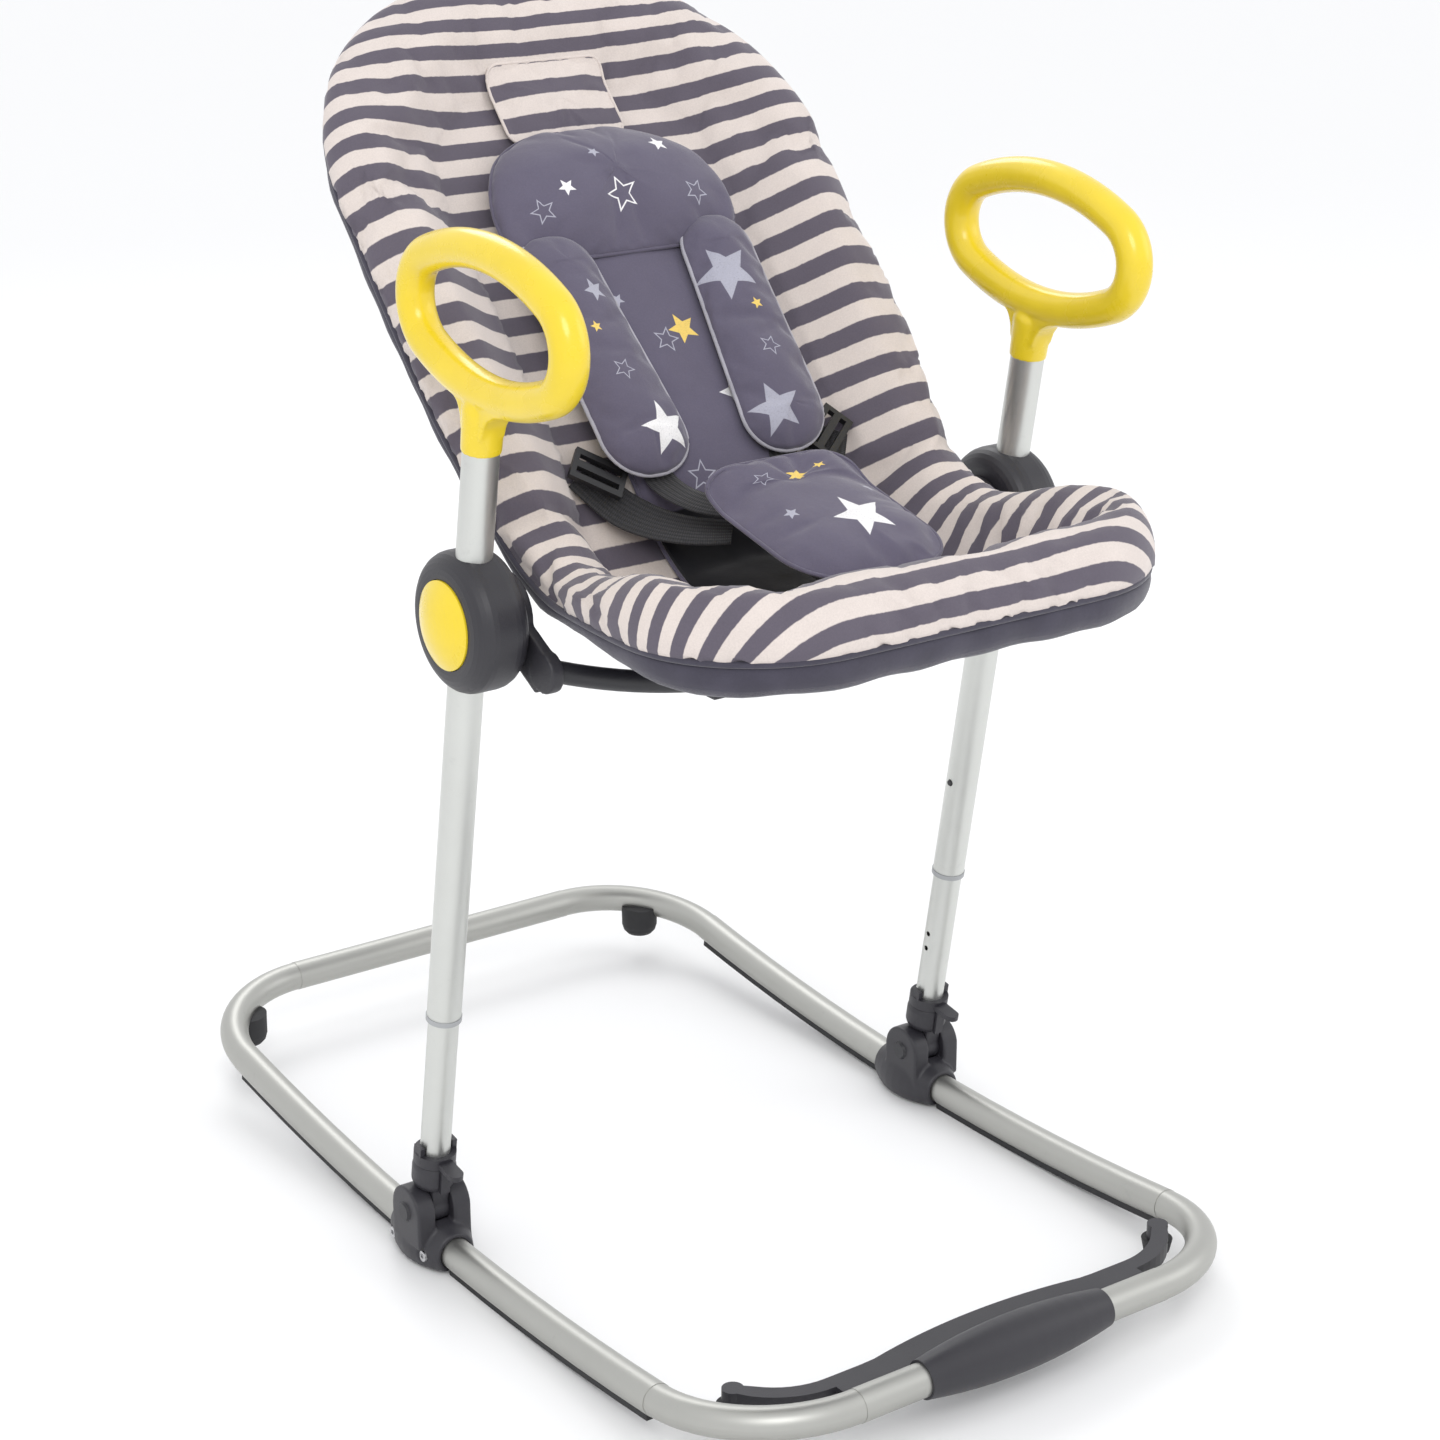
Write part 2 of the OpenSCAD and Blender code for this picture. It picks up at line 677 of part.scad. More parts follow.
module seat_rail() {
    // Bent edge tube of the seat: head bend, side runs, knee bends and foot bend.
    w = half_w - waist - 2;
    hc = 140;
    fc = 74;
    color(steel) {
        sides() {
            straight(at(w, hc, -rail_drop), at(w, len_back, -rail_drop), rail_r);
            straight(at(w, len_back + len_bend, -rail_drop), at(w, len_all - fc, -rail_drop), rail_r);
            translate([w, bend_c[0], bend_c[1]]) rotate([90, 0, 90]) {
                a0 = atan2(-nrm(len_all)[1], -nrm(len_all)[0]);
                rotate([0, 0, a0]) rotate_extrude(angle = turn, $fn = 120)
                    translate([knee_r + rail_drop, 0]) circle(r = rail_r, $fn = 32);
            }
            hp = at(w - hc, hc, -rail_drop);
            translate(hp) rotate([rail_back_z, 0, 0]) rail_bend(0, 90, hc);
            fp = at(w - fc, len_all - fc, -rail_drop);
            translate(fp) rotate([rail_seat_z, 0, 0]) mirror([0, 1, 0]) rail_bend(0, 90, fc);
        }
        straight(at(-(w - hc), 0, -rail_drop), at(w - hc, 0, -rail_drop), rail_r);
        straight(at(-(w - fc), len_all, -rail_drop), at(w - fc, len_all, -rail_drop), rail_r);
    }
}

module seat_cover() {
    // Striped padded cover with the raised edge roll.
    color([0.8, 0.76, 0.76]) skin(44, 30, -roll_r + 0.3, len_all + roll_r - 0.3, roll_r - 0.3, 0);
}

module seat_shell() {
    color(slate) skin(40, 26, -roll_r + 2, len_all + roll_r - 2, roll_r - 2, 1);
}

module insert_pad() {
    color(slate) pad(28, 12, 140, 562, 0, 0, 92, 62, 11, 1.8, 66);
}

module head_hugger() {
    color(slate) pad(16, 14, 108, 214, 0, 0, 88, 104, 25, 13.6, 60);
}

module shoulder_pad_body() {
    pad(16, 8, 216, 408, 72, 61, 30, 36, 20, 18, 30);
}

module shoulder_pad_left() {
    color(slate) side(-1) shoulder_pad_body();
}

module shoulder_pad_right() {
    color(slate) side(1) shoulder_pad_body();
}

module crotch_pad() {
    color(slate) pad(16, 12, 460, 612, -4, 11, 64, 64, 14, 0, 34, [57, 4]);
}

module crotch_strap() {
    color(black) ribbon([[0, 600, 30], [0, 566, 35], [0, 532, 40], [0, 502, 43]], 38, 2, 12);
}

module waist_strap_body() {
    ribbon([[112, 388, 3], [92, 420, 8], [64, 456, 30], [34, 478, 42]], 34, 2, 16);
}

module waist_strap_left() {
    color(black) side(-1) waist_strap_body();
}

module waist_strap_right() {
    color(black) side(1) waist_strap_body();
}

module shoulder_strap_body() {
    ribbon([[58, 380, 14.2], [56, 408, 15.4], [48, 438, 36], [28, 464, 50]], 25, 1.6, 16);
}

module shoulder_strap_left() {
    color(black) side(-1) shoulder_strap_body();
}

module shoulder_strap_right() {
    color(black) side(1) shoulder_strap_body();
}

module strap_adjusters() {
    color(charcoal) sides() on_seat(104, 395, pad_top(104, 395) + 12.4, 0) rotate([0, 0, 38]) difference() {
        translate([-21, -13, -1.5]) cube([42, 26, 5]);
        for (y = [-8, 3])
            translate([-17, y, -3]) cube([34, 5, 8]);
    }
}

module harness_buckle() {
    color(charcoal) on_seat(0, 478, 22, 15) difference() {
        union() {
            translate([-25, -26, 0]) cube([50, 52, 13]);
            translate([-25, 0, 6.5]) cylinder(h = 13, r = 14, center = true, $fn = 48);
            translate([25, 0, 6.5]) cylinder(h = 13, r = 14, center = true, $fn = 48);
        }
        translate([0, 2, 6]) cylinder(h = 10, r = 12.3, $fn = 48);
    }
}

module buckle_button() {
    color(slate) on_seat(0, 478, 22, 15) translate([0, 2, 8.4]) cylinder(h = 5.6, r = 12, $fn = 48);
}

// Foot pedal: an arched bar inside the front tube, a barrel pad on the tube and two rubber stops.
pedal_half = 84;
pedal_mid_r = 21.5;
pedal_end_r = 14.5;
arm_in = 62;
arm_mid = 68.5;
arm_out = 75;

module barrel(extra) {
    // Barrel-shaped sleeve around the front tube axis.
    n = 12;
    pts = [for (i = [0:n]) let (q = 2 * i / n - 1)
        [mix(pedal_mid_r, pedal_end_r, q * q) + extra, q * pedal_half]];
    translate([0, bar_front_y, bar_front_z]) rotate([0, 90, 0]) rotate_extrude($fn = 72)
        polygon(concat([[0, -pedal_half]], pts, [[0, pedal_half]]));
}

module pedal_pad() {
    color(charcoal) difference() {
        barrel(0);
        along_x(-100, 100, bar_front_y, bar_front_z, tube_r + 0.05);
    }
}

module pedal_bar() {
    // Arched bar behind the front tube that runs on as two curved arms inside the corner bends.
    arc_r = 497;
    front = bar_front_y + 13.3;
    function rear(x) = max(arc_r + sqrt(arc_r * arc_r - x * x) - 1354, front_y - arm_in);
    function arm(r, a) = [bar_half + r * cos(a), front_y + r * sin(a)];
    half = concat(
        [[bar_half, front]],
        [for (a = [-90:6:-42]) arm(arm_out, a)],
        [for (t = [-75:15:195]) arm(arm_mid, -30) + 8 * [cos(t), sin(t)]],
        [for (a = [-42:-6:-90]) arm(arm_in, a)],
        [for (i = [9:-1:0]) [12 * i, rear(12 * i)]]);
    other = [for (i = [len(half) - 2:-1:0]) [-half[i][0], half[i][1]]];
    color(charcoal) difference() {
        translate([0, 0, bar_front_z - 10]) linear_extrude(height = 12.5) polygon(concat(half, other));
        barrel(0);
    }
}

module pedal_stops() {
    color(black) sides()
        translate([bar_half + arm_mid * cos(-30), front_y + arm_mid * sin(-30), bar_front_z - 20])
            cylinder(h = 10, r1 = 10, r2 = 12, $fn = 48);
}

base_loop();
anti_slip_strips();
rear_feet();
pivot_housing_left();
pivot_housing_right();
pivot_axles();
housing_screws();
pivot_knuckle_left();
pivot_knuckle_right();
inner_post_left();
inner_post_right();
fold_latch_left();
fold_latch_right();
outer_post_left();
outer_post_right();
post_bushings();
post_snap_buttons();
hub_left();
hub_right();
hub_screws();
button_springs();
hub_button_left();
hub_button_right();
lock_pin_left();
lock_pin_right();
grip_ring_left();
grip_ring_right();
hub_bracket_left();
hub_bracket_right();
seat_yoke();
yoke_saddles();
seat_rail();
seat_cover();
seat_shell();
insert_pad();
head_hugger();
shoulder_pad_left();
shoulder_pad_right();
crotch_pad();
crotch_strap();
waist_strap_left();
waist_strap_right();
shoulder_strap_left();
shoulder_strap_right();
strap_adjusters();
harness_buckle();
buckle_button();
pedal_bar();
pedal_pad();
pedal_stops();
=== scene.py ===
"""Looks of the height-adjustable bouncer seat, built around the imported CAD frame.

Metres, +Z up, -Y towards the feet. Soft pieces are drawn on a flat seat sheet with places x across and s along it,
s = 0 at the head end. The sheet is then bent to the seat line, and h is the height above its edge line.
"""

import json
import math

import bmesh
import bpy
import numpy as np
from mathutils import Matrix, Vector, noise


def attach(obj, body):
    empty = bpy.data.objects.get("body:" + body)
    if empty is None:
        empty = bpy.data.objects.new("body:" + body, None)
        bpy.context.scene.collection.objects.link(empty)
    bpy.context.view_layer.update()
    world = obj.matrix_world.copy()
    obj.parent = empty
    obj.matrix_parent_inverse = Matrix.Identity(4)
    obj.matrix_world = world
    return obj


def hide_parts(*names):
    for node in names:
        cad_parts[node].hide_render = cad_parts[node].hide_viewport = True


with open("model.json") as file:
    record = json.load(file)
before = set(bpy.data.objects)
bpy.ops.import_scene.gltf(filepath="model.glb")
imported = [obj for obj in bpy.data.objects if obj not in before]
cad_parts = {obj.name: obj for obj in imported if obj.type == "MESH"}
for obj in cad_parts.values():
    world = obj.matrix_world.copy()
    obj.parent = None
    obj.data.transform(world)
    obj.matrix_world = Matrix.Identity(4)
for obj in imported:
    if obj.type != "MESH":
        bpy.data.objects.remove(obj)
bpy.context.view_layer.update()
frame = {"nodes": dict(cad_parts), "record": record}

# ---------------------------------------------------------------- seat sheet, as in the CAD source
HEAD = np.array([0.222, 0.908])  # ends and corner of the seat line in the YZ plane
KNEE = np.array([-0.095, 0.558])
FOOT = np.array([-0.326, 0.564])
KNEE_R = 0.110  # bend radius between back and seat
HALF_W = 0.190  # half width at the edge line
WAIST = 0.013  # how far the outline draws in near the hubs
WAIST_SPREAD = 0.095
ROLL = 0.024  # radius of the edge roll
HEAD_CR = 0.150  # corner radii of the outline
FOOT_CR = 0.084
FLANK = 0.068  # distance over which the padding falls from the roll to the dish
FOOT_SWELL = 0.72  # how much taller the roll stands at the foot end
LEG = 0.001  # straight step below the roll
DISH_BACK, DISH_SEAT = 0.012, 0.040  # depth of the padding below the edge line
DISH_FOOT_RISE = 0.022

back_u = (HEAD - KNEE) / np.linalg.norm(HEAD - KNEE)
seat_u = (FOOT - KNEE) / np.linalg.norm(FOOT - KNEE)
knee_open = math.acos(back_u @ seat_u)
knee_cut = KNEE_R / math.tan(knee_open / 2)
TURN = math.pi - knee_open
LEN_BACK = np.linalg.norm(HEAD - KNEE) - knee_cut
LEN_BEND = KNEE_R * TURN
LEN = LEN_BACK + LEN_BEND + np.linalg.norm(FOOT - KNEE) - knee_cut
back_n = np.array([-back_u[1], back_u[0]])
bend_c = KNEE + back_u * knee_cut + back_n * KNEE_R
WAIST_S = LEN_BACK + LEN_BEND * 0.45


def smooth(t):
    c = np.clip(t, 0, 1)
    return c * c * (3 - 2 * c)


def mix(a, b, t):
    return a + (b - a) * t


def normal(s):
    """Direction away from the padding in the YZ plane, at sheet length s."""
    a = -np.clip((s - LEN_BACK) / LEN_BEND, 0, 1) * TURN
    return np.stack(
        [
            back_n[0] * np.cos(a) - back_n[1] * np.sin(a),
            back_n[0] * np.sin(a) + back_n[1] * np.cos(a),
        ],
        -1,
    )


def at(x, s, h):
    """Points in the row frame for places x across, s along the sheet and h above its edge line."""
    x, s, h = np.broadcast_arrays(*(np.asarray(v, float) for v in (x, s, h)))
    n = normal(s)
    back = HEAD - back_u * s[..., None]
    seat = FOOT - seat_u * (LEN - s)[..., None]
    bend = bend_c - n * KNEE_R
    p = np.where((s < LEN_BACK)[..., None], back, bend)
    p = np.where((s > LEN_BACK + LEN_BEND)[..., None], seat, p) + n * h[..., None]
    return np.stack([x, p[..., 0], p[..., 1]], -1)


def width_at(s):
    """Half width of the waisted outline."""
    return HALF_W - WAIST * np.exp(-(((s - WAIST_S) / WAIST_SPREAD) ** 2))


def inside(x, s):
    """How far a place is inside the seat's edge line."""
    q = np.abs(x) * HALF_W / width_at(s)
    c = np.where(s < LEN / 2, HEAD_CR, FOOT_CR)
    a = q - HALF_W + c
    b = np.abs(s - LEN / 2) - LEN / 2 + c
    return c - np.hypot(np.maximum(a, 0), np.maximum(b, 0)) - np.minimum(np.maximum(a, b), 0)


def dish(s):
    """Depth of the padding below the edge line."""
    seat_part = smooth((s - LEN_BACK + 0.060) / 0.170)
    return mix(DISH_BACK, DISH_SEAT, seat_part) - DISH_FOOT_RISE * smooth((s - LEN + 0.120) / 0.120)


def swell(s):
    """The edge roll stands taller along the foot end."""
    return 1 + FOOT_SWELL * smooth((s - LEN + 0.190) / 0.120)


def pad_top(x, s):
    """Height of the padded cover over the edge line."""
    e = inside(x, s)
    edge = swell(s) * np.sqrt(np.maximum(ROLL * ROLL - e * e, 0)) + LEG
    return np.where(e < 0, edge, mix(swell(s) * ROLL + LEG, -dish(s), smooth(e / FLANK)))


# ---------------------------------------------------------------- mesh helpers
def add_mesh(name, points, faces):
    mesh = bpy.data.meshes.new(name)
    mesh.from_pydata([tuple(p) for p in points], [], [tuple(f) for f in faces])
    mesh.validate()
    mesh.update()
    mesh.polygons.foreach_set("use_smooth", [True] * len(mesh.polygons))
    obj = bpy.data.objects.new(name, mesh)
    bpy.context.scene.collection.objects.link(obj)
    return obj


def tag(obj, name, values):
    """Stores one number or one vector per vertex for the materials to read."""
    values = np.asarray(values, np.float32)
    kind = "FLOAT" if values.ndim == 1 else "FLOAT_VECTOR"
    layer = obj.data.attributes.new(name, kind, "POINT")
    layer.data.foreach_set("value" if values.ndim == 1 else "vector", values.ravel())


def read_tag(obj, name, size=1):
    """Reads one number per vertex, or a row of numbers where size is more than one."""
    out = np.empty(len(obj.data.vertices) * size, np.float32)
    obj.data.attributes[name].data.foreach_get("value" if size == 1 else "vector", out)
    return out if size == 1 else out.reshape(-1, size)


def tag_cloth(obj, flat):
    """Stores the place of each vertex on the flat cloth."""
    tag(obj, "cloth", np.column_stack([flat, np.zeros(len(flat))]))


def coords(obj):
    co = np.empty(len(obj.data.vertices) * 3)
    obj.data.vertices.foreach_get("co", co)
    return co.reshape(-1, 3)


def set_coords(obj, co):
    obj.data.vertices.foreach_set("co", np.asarray(co, float).ravel())
    obj.data.update()


def normals(obj):
    out = np.empty(len(obj.data.vertices) * 3)
    obj.data.vertex_normals.foreach_get("vector", out)
    return out.reshape(-1, 3)


def subdivide(obj, levels):
    """Catmull-Clark subdivision, baked into the mesh so that tags are carried over."""
    mod = obj.modifiers.new("Smooth", "SUBSURF")
    mod.levels = mod.render_levels = levels
    dg = bpy.context.evaluated_depsgraph_get()
    mesh = bpy.data.meshes.new_from_object(obj.evaluated_get(dg))
    obj.modifiers.remove(mod)
    old = obj.data
    obj.data = mesh
    bpy.data.meshes.remove(old)


def rings_mesh(name, rings):
    """Closed body from a stack of closed rings, each (n, 3), whose first and last are collapsed lines."""
    k, n = len(rings), len(rings[0])
    faces = []
    for i in range(k - 1):
        for j in range(n):
            a, b = i * n + j, i * n + (j + 1) % n
            faces.append((a, b, b + n, a + n))
    return add_mesh(name, np.concatenate(rings), faces)


def weld(obj, distance=1e-6):
    """Joins the doubled points of collapsed rings."""
    bm = bmesh.new()
    bm.from_mesh(obj.data)
    bmesh.ops.remove_doubles(bm, verts=bm.verts, dist=distance)
    bmesh.ops.dissolve_degenerate(bm, edges=bm.edges, dist=1e-7)
    bmesh.ops.recalc_face_normals(bm, faces=bm.faces)
    bm.to_mesh(obj.data)
    bm.free()
    obj.data.polygons.foreach_set("use_smooth", [True] * len(obj.data.polygons))


def closed_tube(name, path, radius, sides):
    """Round tube along a closed path, swept with a steady frame."""
    n = len(path)
    tangent = np.roll(path, -1, 0) - np.roll(path, 1, 0)
    tangent /= np.linalg.norm(tangent, axis=1)[:, None]
    up = np.array([0.31, 0.52, 0.79])  # never along the path
    side = np.cross(tangent, up)
    side /= np.linalg.norm(side, axis=1)[:, None]
    third = np.cross(tangent, side)
    ang = np.linspace(0, 2 * math.pi, sides, endpoint=False)
    spokes = side[:, None] * np.cos(ang)[:, None] + third[:, None] * np.sin(ang)[:, None]
    pts = (path[:, None] + radius * spokes).reshape(-1, 3)
    faces = []
    for i in range(n):
        for j in range(sides):
            a, b = i * sides + j, i * sides + (j + 1) % sides
            c, d = ((i + 1) % n) * sides + (j + 1) % sides, ((i + 1) % n) * sides + j
            faces.append((a, b, c, d))
    return add_mesh(name, pts, faces)


def rim(half, s0, s1, r0, r1, step):
    """Rounded outline in the flat sheet: points and outward directions, evenly spaced, going once round."""
    pts, out = [], []

    def line(a, b, n):
        a, b = np.array(a), np.array(b)
        count = max(int(round(np.linalg.norm(b - a) / step)), 1)
        for i in range(count):
            pts.append(a + (b - a) * i / count)
            out.append(n)

    def arc(c, r, a0, a1):
        count = max(int(round(abs(a1 - a0) * r / step)), 4)
        for i in range(count):
            a = a0 + (a1 - a0) * i / count
            d = np.array([math.cos(a), math.sin(a)])
            pts.append(np.array(c) + r * d)
            out.append(d)

    quarter = math.pi / 2
    head, right, foot, left = (np.array(v) for v in ((0.0, -1.0), (1.0, 0.0), (0.0, 1.0), (-1.0, 0.0)))
    line((0, s0), (half - r0, s0), head)
    arc((half - r0, s0 + r0), r0, -quarter, 0)
    line((half, s0 + r0), (half, s1 - r1), right)
    arc((half - r1, s1 - r1), r1, 0, quarter)
    line((half - r1, s1), (-half + r1, s1), foot)
    arc((-half + r1, s1 - r1), r1, quarter, 2 * quarter)
    line((-half, s1 - r1), (-half, s0 + r0), left)
    arc((-half + r0, s0 + r0), r0, 2 * quarter, 3 * quarter)
    line((-half + r0, s0), (0, s0), head)
    return np.array(pts), np.array(out)


def wrinkle(obj, amount, scale, seed, mask=1.0):
    """Soft uneven folds pushed along the surface normal."""
    co = coords(obj)
    shift = np.array([noise.noise(Vector(p * scale) + Vector((seed, 0, 0))) for p in co]) * amount * mask
    set_coords(obj, co + normals(obj) * shift[:, None])


def gathers(obj, flat, centre, reach, spread, count, amount):
    """Fan of sewn-in pleats around a place on the flat cloth, pushed along the surface normal."""
    du, dv = flat[:, 0] - centre[0], flat[:, 1] - centre[1]
    far = np.hypot(du, dv)
    turn = np.arctan2(dv, du)
    window = np.exp(-(((far - reach) / spread) ** 2)) * smooth((far - 0.012) / 0.02)
    uneven = 1 + 0.35 * np.sin(5 * turn + 40 * far)
    ridge = np.abs(np.sin(count * turn / 2)) ** 1.4 - 0.5
    set_coords(obj, coords(obj) + normals(obj) * (ridge * window * uneven * amount)[:, None])


SEAM_PIN, SOFT_PIN = 1.0, 0.6  # how firmly the simulation holds a seam and the ring beside it
CLOTH_FRAMES = 20


def inflate(obj, pin, pressure, cap, shrink):
    """Cloth simulation of a stuffed cover between its pinned seams, then applied to the mesh.

    No vertex moves further than cap. A negative shrink lets the cloth grow, which gives it its soft folds."""
    rest = coords(obj)
    group = obj.vertex_groups.new(name="seam")
    for w in (SEAM_PIN, SOFT_PIN):
        ids = [int(i) for i in np.nonzero(np.abs(pin - w) < 0.15)[0]]
        if ids:
            group.add(ids, w, "REPLACE")
    mod = obj.modifiers.new("Cloth", "CLOTH")
    c = mod.settings
    c.quality = 6
    c.mass = 0.2
    c.tension_stiffness = c.compression_stiffness = 12
    c.shear_stiffness = 5
    c.bending_stiffness = 0.4
    c.shrink_min = shrink
    c.use_pressure = True
    c.uniform_pressure_force = pressure
    c.vertex_group_mass = "seam"
    c.pin_stiffness = 1.0
    c.effector_weights.gravity = 0
    mod.collision_settings.use_collision = False
    mod.point_cache.frame_start = 1
    mod.point_cache.frame_end = CLOTH_FRAMES
    scene = bpy.context.scene
    for f in range(1, CLOTH_FRAMES + 1):
        scene.frame_set(f)
    dg = bpy.context.evaluated_depsgraph_get()
    found = np.array([v.co for v in obj.evaluated_get(dg).data.vertices], float)
    obj.modifiers.remove(mod)
    scene.frame_set(1)
    move = found - rest
    size = np.linalg.norm(move, axis=1)
    move *= (np.minimum(size, cap) / np.maximum(size, 1e-9))[:, None]
    set_coords(obj, rest + move)
    obj.vertex_groups.clear()


# ---------------------------------------------------------------- materials
def new_material(name):
    mat = bpy.data.materials.new(name)
    mat.use_nodes = True
    tree = mat.node_tree
    return mat, tree, tree.nodes["Principled BSDF"]


class Nodes:
    """Short calls for building a node tree."""

    def __init__(self, tree):
        self.tree = tree

    def add(self, kind, **props):
        node = self.tree.nodes.new(kind)
        for key, value in props.items():
            setattr(node, key, value)
        return node

    def put(self, socket, value):
        if isinstance(value, bpy.types.NodeSocket):
            self.tree.links.new(value, socket)
        elif value is not None:
            socket.default_value = value

    def math(self, op, a, b=None, c=None):
        node = self.add("ShaderNodeMath", operation=op)
        for socket, value in zip(node.inputs, (a, b, c)):
            self.put(socket, value)
        return node.outputs[0]

    def attribute(self, name, output="Fac"):
        return self.add("ShaderNodeAttribute", attribute_name=name).outputs[output]

    def split(self, vector):
        node = self.add("ShaderNodeSeparateXYZ")
        self.put(node.inputs[0], vector)
        return node.outputs

    def noise(self, vector, scale, detail=3.0, rough=0.5):
        node = self.add("ShaderNodeTexNoise")
        self.put(node.inputs["Vector"], vector)
        node.inputs["Scale"].default_value = scale
        node.inputs["Detail"].default_value = detail
        node.inputs["Roughness"].default_value = rough
        return node.outputs["Fac"]

    def voronoi(self, vector, scale):
        node = self.add("ShaderNodeTexVoronoi")
        self.put(node.inputs["Vector"], vector)
        node.inputs["Scale"].default_value = scale
        return node.outputs["Distance"]

    def ramp(self, value, lo, hi, out_lo=0.0, out_hi=1.0):
        node = self.add("ShaderNodeMapRange")
        node.interpolation_type = "SMOOTHSTEP"
        limits = (("From Min", lo), ("From Max", hi), ("To Min", out_lo), ("To Max", out_hi))
        for key, v in (("Value", value), *limits):
            self.put(node.inputs[key], v)
        return node.outputs["Result"]

    def blend(self, fac, a, b, mode="MIX"):
        node = self.add("ShaderNodeMix", data_type="RGBA", blend_type=mode)
        self.put(node.inputs[0], fac)
        self.put(node.inputs[6], (*a, 1.0) if isinstance(a, tuple) else a)
        self.put(node.inputs[7], (*b, 1.0) if isinstance(b, tuple) else b)
        return node.outputs[2]

    def bump(self, height, distance, strength=1.0, normal_in=None):
        node = self.add("ShaderNodeBump")
        node.inputs["Strength"].default_value = strength
        node.inputs["Distance"].default_value = distance
        self.put(node.inputs["Height"], height)
        if normal_in is not None:
            self.put(node.inputs["Normal"], normal_in)
        return node.outputs["Normal"]

    def place(self):
        return self.add("ShaderNodeTexCoord").outputs["Object"]


def weave_height(n, u, v, pitch):
    """Plain weave: threads that pass over and under each other."""
    a = n.math("SINE", n.math("MULTIPLY", u, 2 * math.pi / pitch))
    b = n.math("SINE", n.math("MULTIPLY", v, 2 * math.pi / pitch))
    return n.math("MULTIPLY", a, b)


def fabric_base(name, pitch, bump_mm, sheen, rough):
    """Woven cloth without its colour yet: threads, loose fibres and soft folds."""
    mat, tree, bsdf = new_material(name)
    n = Nodes(tree)
    cloth = n.split(n.attribute("cloth", "Vector"))
    u, v = cloth[0], cloth[1]
    weave = weave_height(n, u, v, pitch)
    fibre = n.noise(n.place(), 900, 4, 0.6)
    rumple = n.noise(n.place(), 42, 3, 0.55)
    height = n.math("ADD", n.math("MULTIPLY", weave, 0.5), n.math("MULTIPLY", fibre, 0.8))
    fine = n.bump(height, bump_mm * 0.001, 0.7)
    soft = n.bump(rumple, 0.0022, 0.35, fine)
    tree.links.new(soft, bsdf.inputs["Normal"])
    bsdf.inputs["Roughness"].default_value = rough
    bsdf.inputs["Sheen Weight"].default_value = sheen
    bsdf.inputs["Sheen Roughness"].default_value = 0.45
    bsdf.inputs["Specular IOR Level"].default_value = 0.25
    return mat, n, bsdf, u, v, weave, fibre, rumple


def cloth_tone(n, colour, weave, fibre, rumple):
    """Small colour changes from the threads and the fibres, plus painted shade in the hollows of the soft folds
    and painted light on their crests.
    """
    tone = n.math("ADD", n.math("MULTIPLY", fibre, 0.34), n.math("MULTIPLY", weave, 0.05))
    # the fold height lightens the crests and darkens the hollows: painted light and shade
    tone = n.math("ADD", tone, n.math("MULTIPLY", rumple, 0.16))
    gain = n.ramp(tone, 0.0, 0.5, 0.82, 1.12)
    node = n.add("ShaderNodeVectorMath", operation="SCALE")
    n.put(node.inputs[0], colour)
    n.put(node.inputs["Scale"], gain)
    return node.outputs[0]


CREAM = (0.70, 0.625, 0.585)
GREY = (0.120, 0.105, 0.135)
SLATE = (0.122, 0.110, 0.160)
BLACK_CLOTH_AND_SHADE = (0.016, 0.016, 0.020)
# black of the insert's lower panel, which also stands for painted shade below the crotch pad
WHITE = (0.86, 0.85, 0.86)  # printing inks
PALE = (0.42, 0.42, 0.50)
GOLD = (0.86, 0.62, 0.16)


def shade_of(colour, gain, lift=0.0):
    return tuple(min(c * gain + lift, 1) for c in colour)


def striped_material():
    mat, n, bsdf, u, v, weave, fibre, rumple = fabric_base("striped cotton", 0.0011, 0.12, 0.25, 0.85)
    phase = n.attribute("phase")
    ragged = n.math("MULTIPLY", n.math("SUBTRACT", n.noise(n.place(), 260, 2), 0.5), 0.035)
    turn = n.math("MULTIPLY", n.math("ADD", phase, ragged), 2 * math.pi)
    dark = n.ramp(n.math("COSINE", turn), -0.11, 0.11)
    colour = n.blend(dark, CREAM, GREY)
    n.put(bsdf.inputs["Base Color"], cloth_tone(n, colour, weave, fibre, rumple))
    return mat


def star_group():
    """Mask of a five-pointed star printed on the flat cloth."""
    tree = bpy.data.node_groups.new("printed star", "ShaderNodeTree")
    for key in ("U", "V", "U0", "V0", "Size", "Turn", "Hollow"):
        tree.interface.new_socket(key, in_out="INPUT", socket_type="NodeSocketFloat")
    tree.interface.new_socket("Mask", in_out="OUTPUT", socket_type="NodeSocketFloat")
    n = Nodes(tree)
    given = n.add("NodeGroupInput").outputs
    du = n.math("SUBTRACT", given["U"], given["U0"])
    dv = n.math("SUBTRACT", given["V"], given["V0"])
    far = n.math("SQRT", n.math("ADD", n.math("MULTIPLY", du, du), n.math("MULTIPLY", dv, dv)))
    angle = n.math("ADD", n.math("ARCTAN2", du, n.math("MULTIPLY", dv, -1)), given["Turn"])
    beta, notch = math.pi / 5, 0.45
    fold = n.math("PINGPONG", n.math("ADD", angle, 8 * math.pi), beta)
    below = n.math(
        "ADD",
        n.math("MULTIPLY", n.math("SINE", n.math("SUBTRACT", beta, fold)), notch),
        n.math("SINE", fold),
    )
    edge = n.math("MULTIPLY", n.math("DIVIDE", notch * math.sin(beta), below), given["Size"])
    share = n.math("DIVIDE", far, edge)
    body = n.ramp(share, 1.04, 0.98)
    hole = n.math("MULTIPLY", n.ramp(share, 0.84, 0.78), given["Hollow"])
    mask = n.math("MULTIPLY", body, n.math("SUBTRACT", 1.0, hole))
    out = n.add("NodeGroupOutput")
    n.put(out.inputs["Mask"], mask)
    return tree


STAR = star_group()


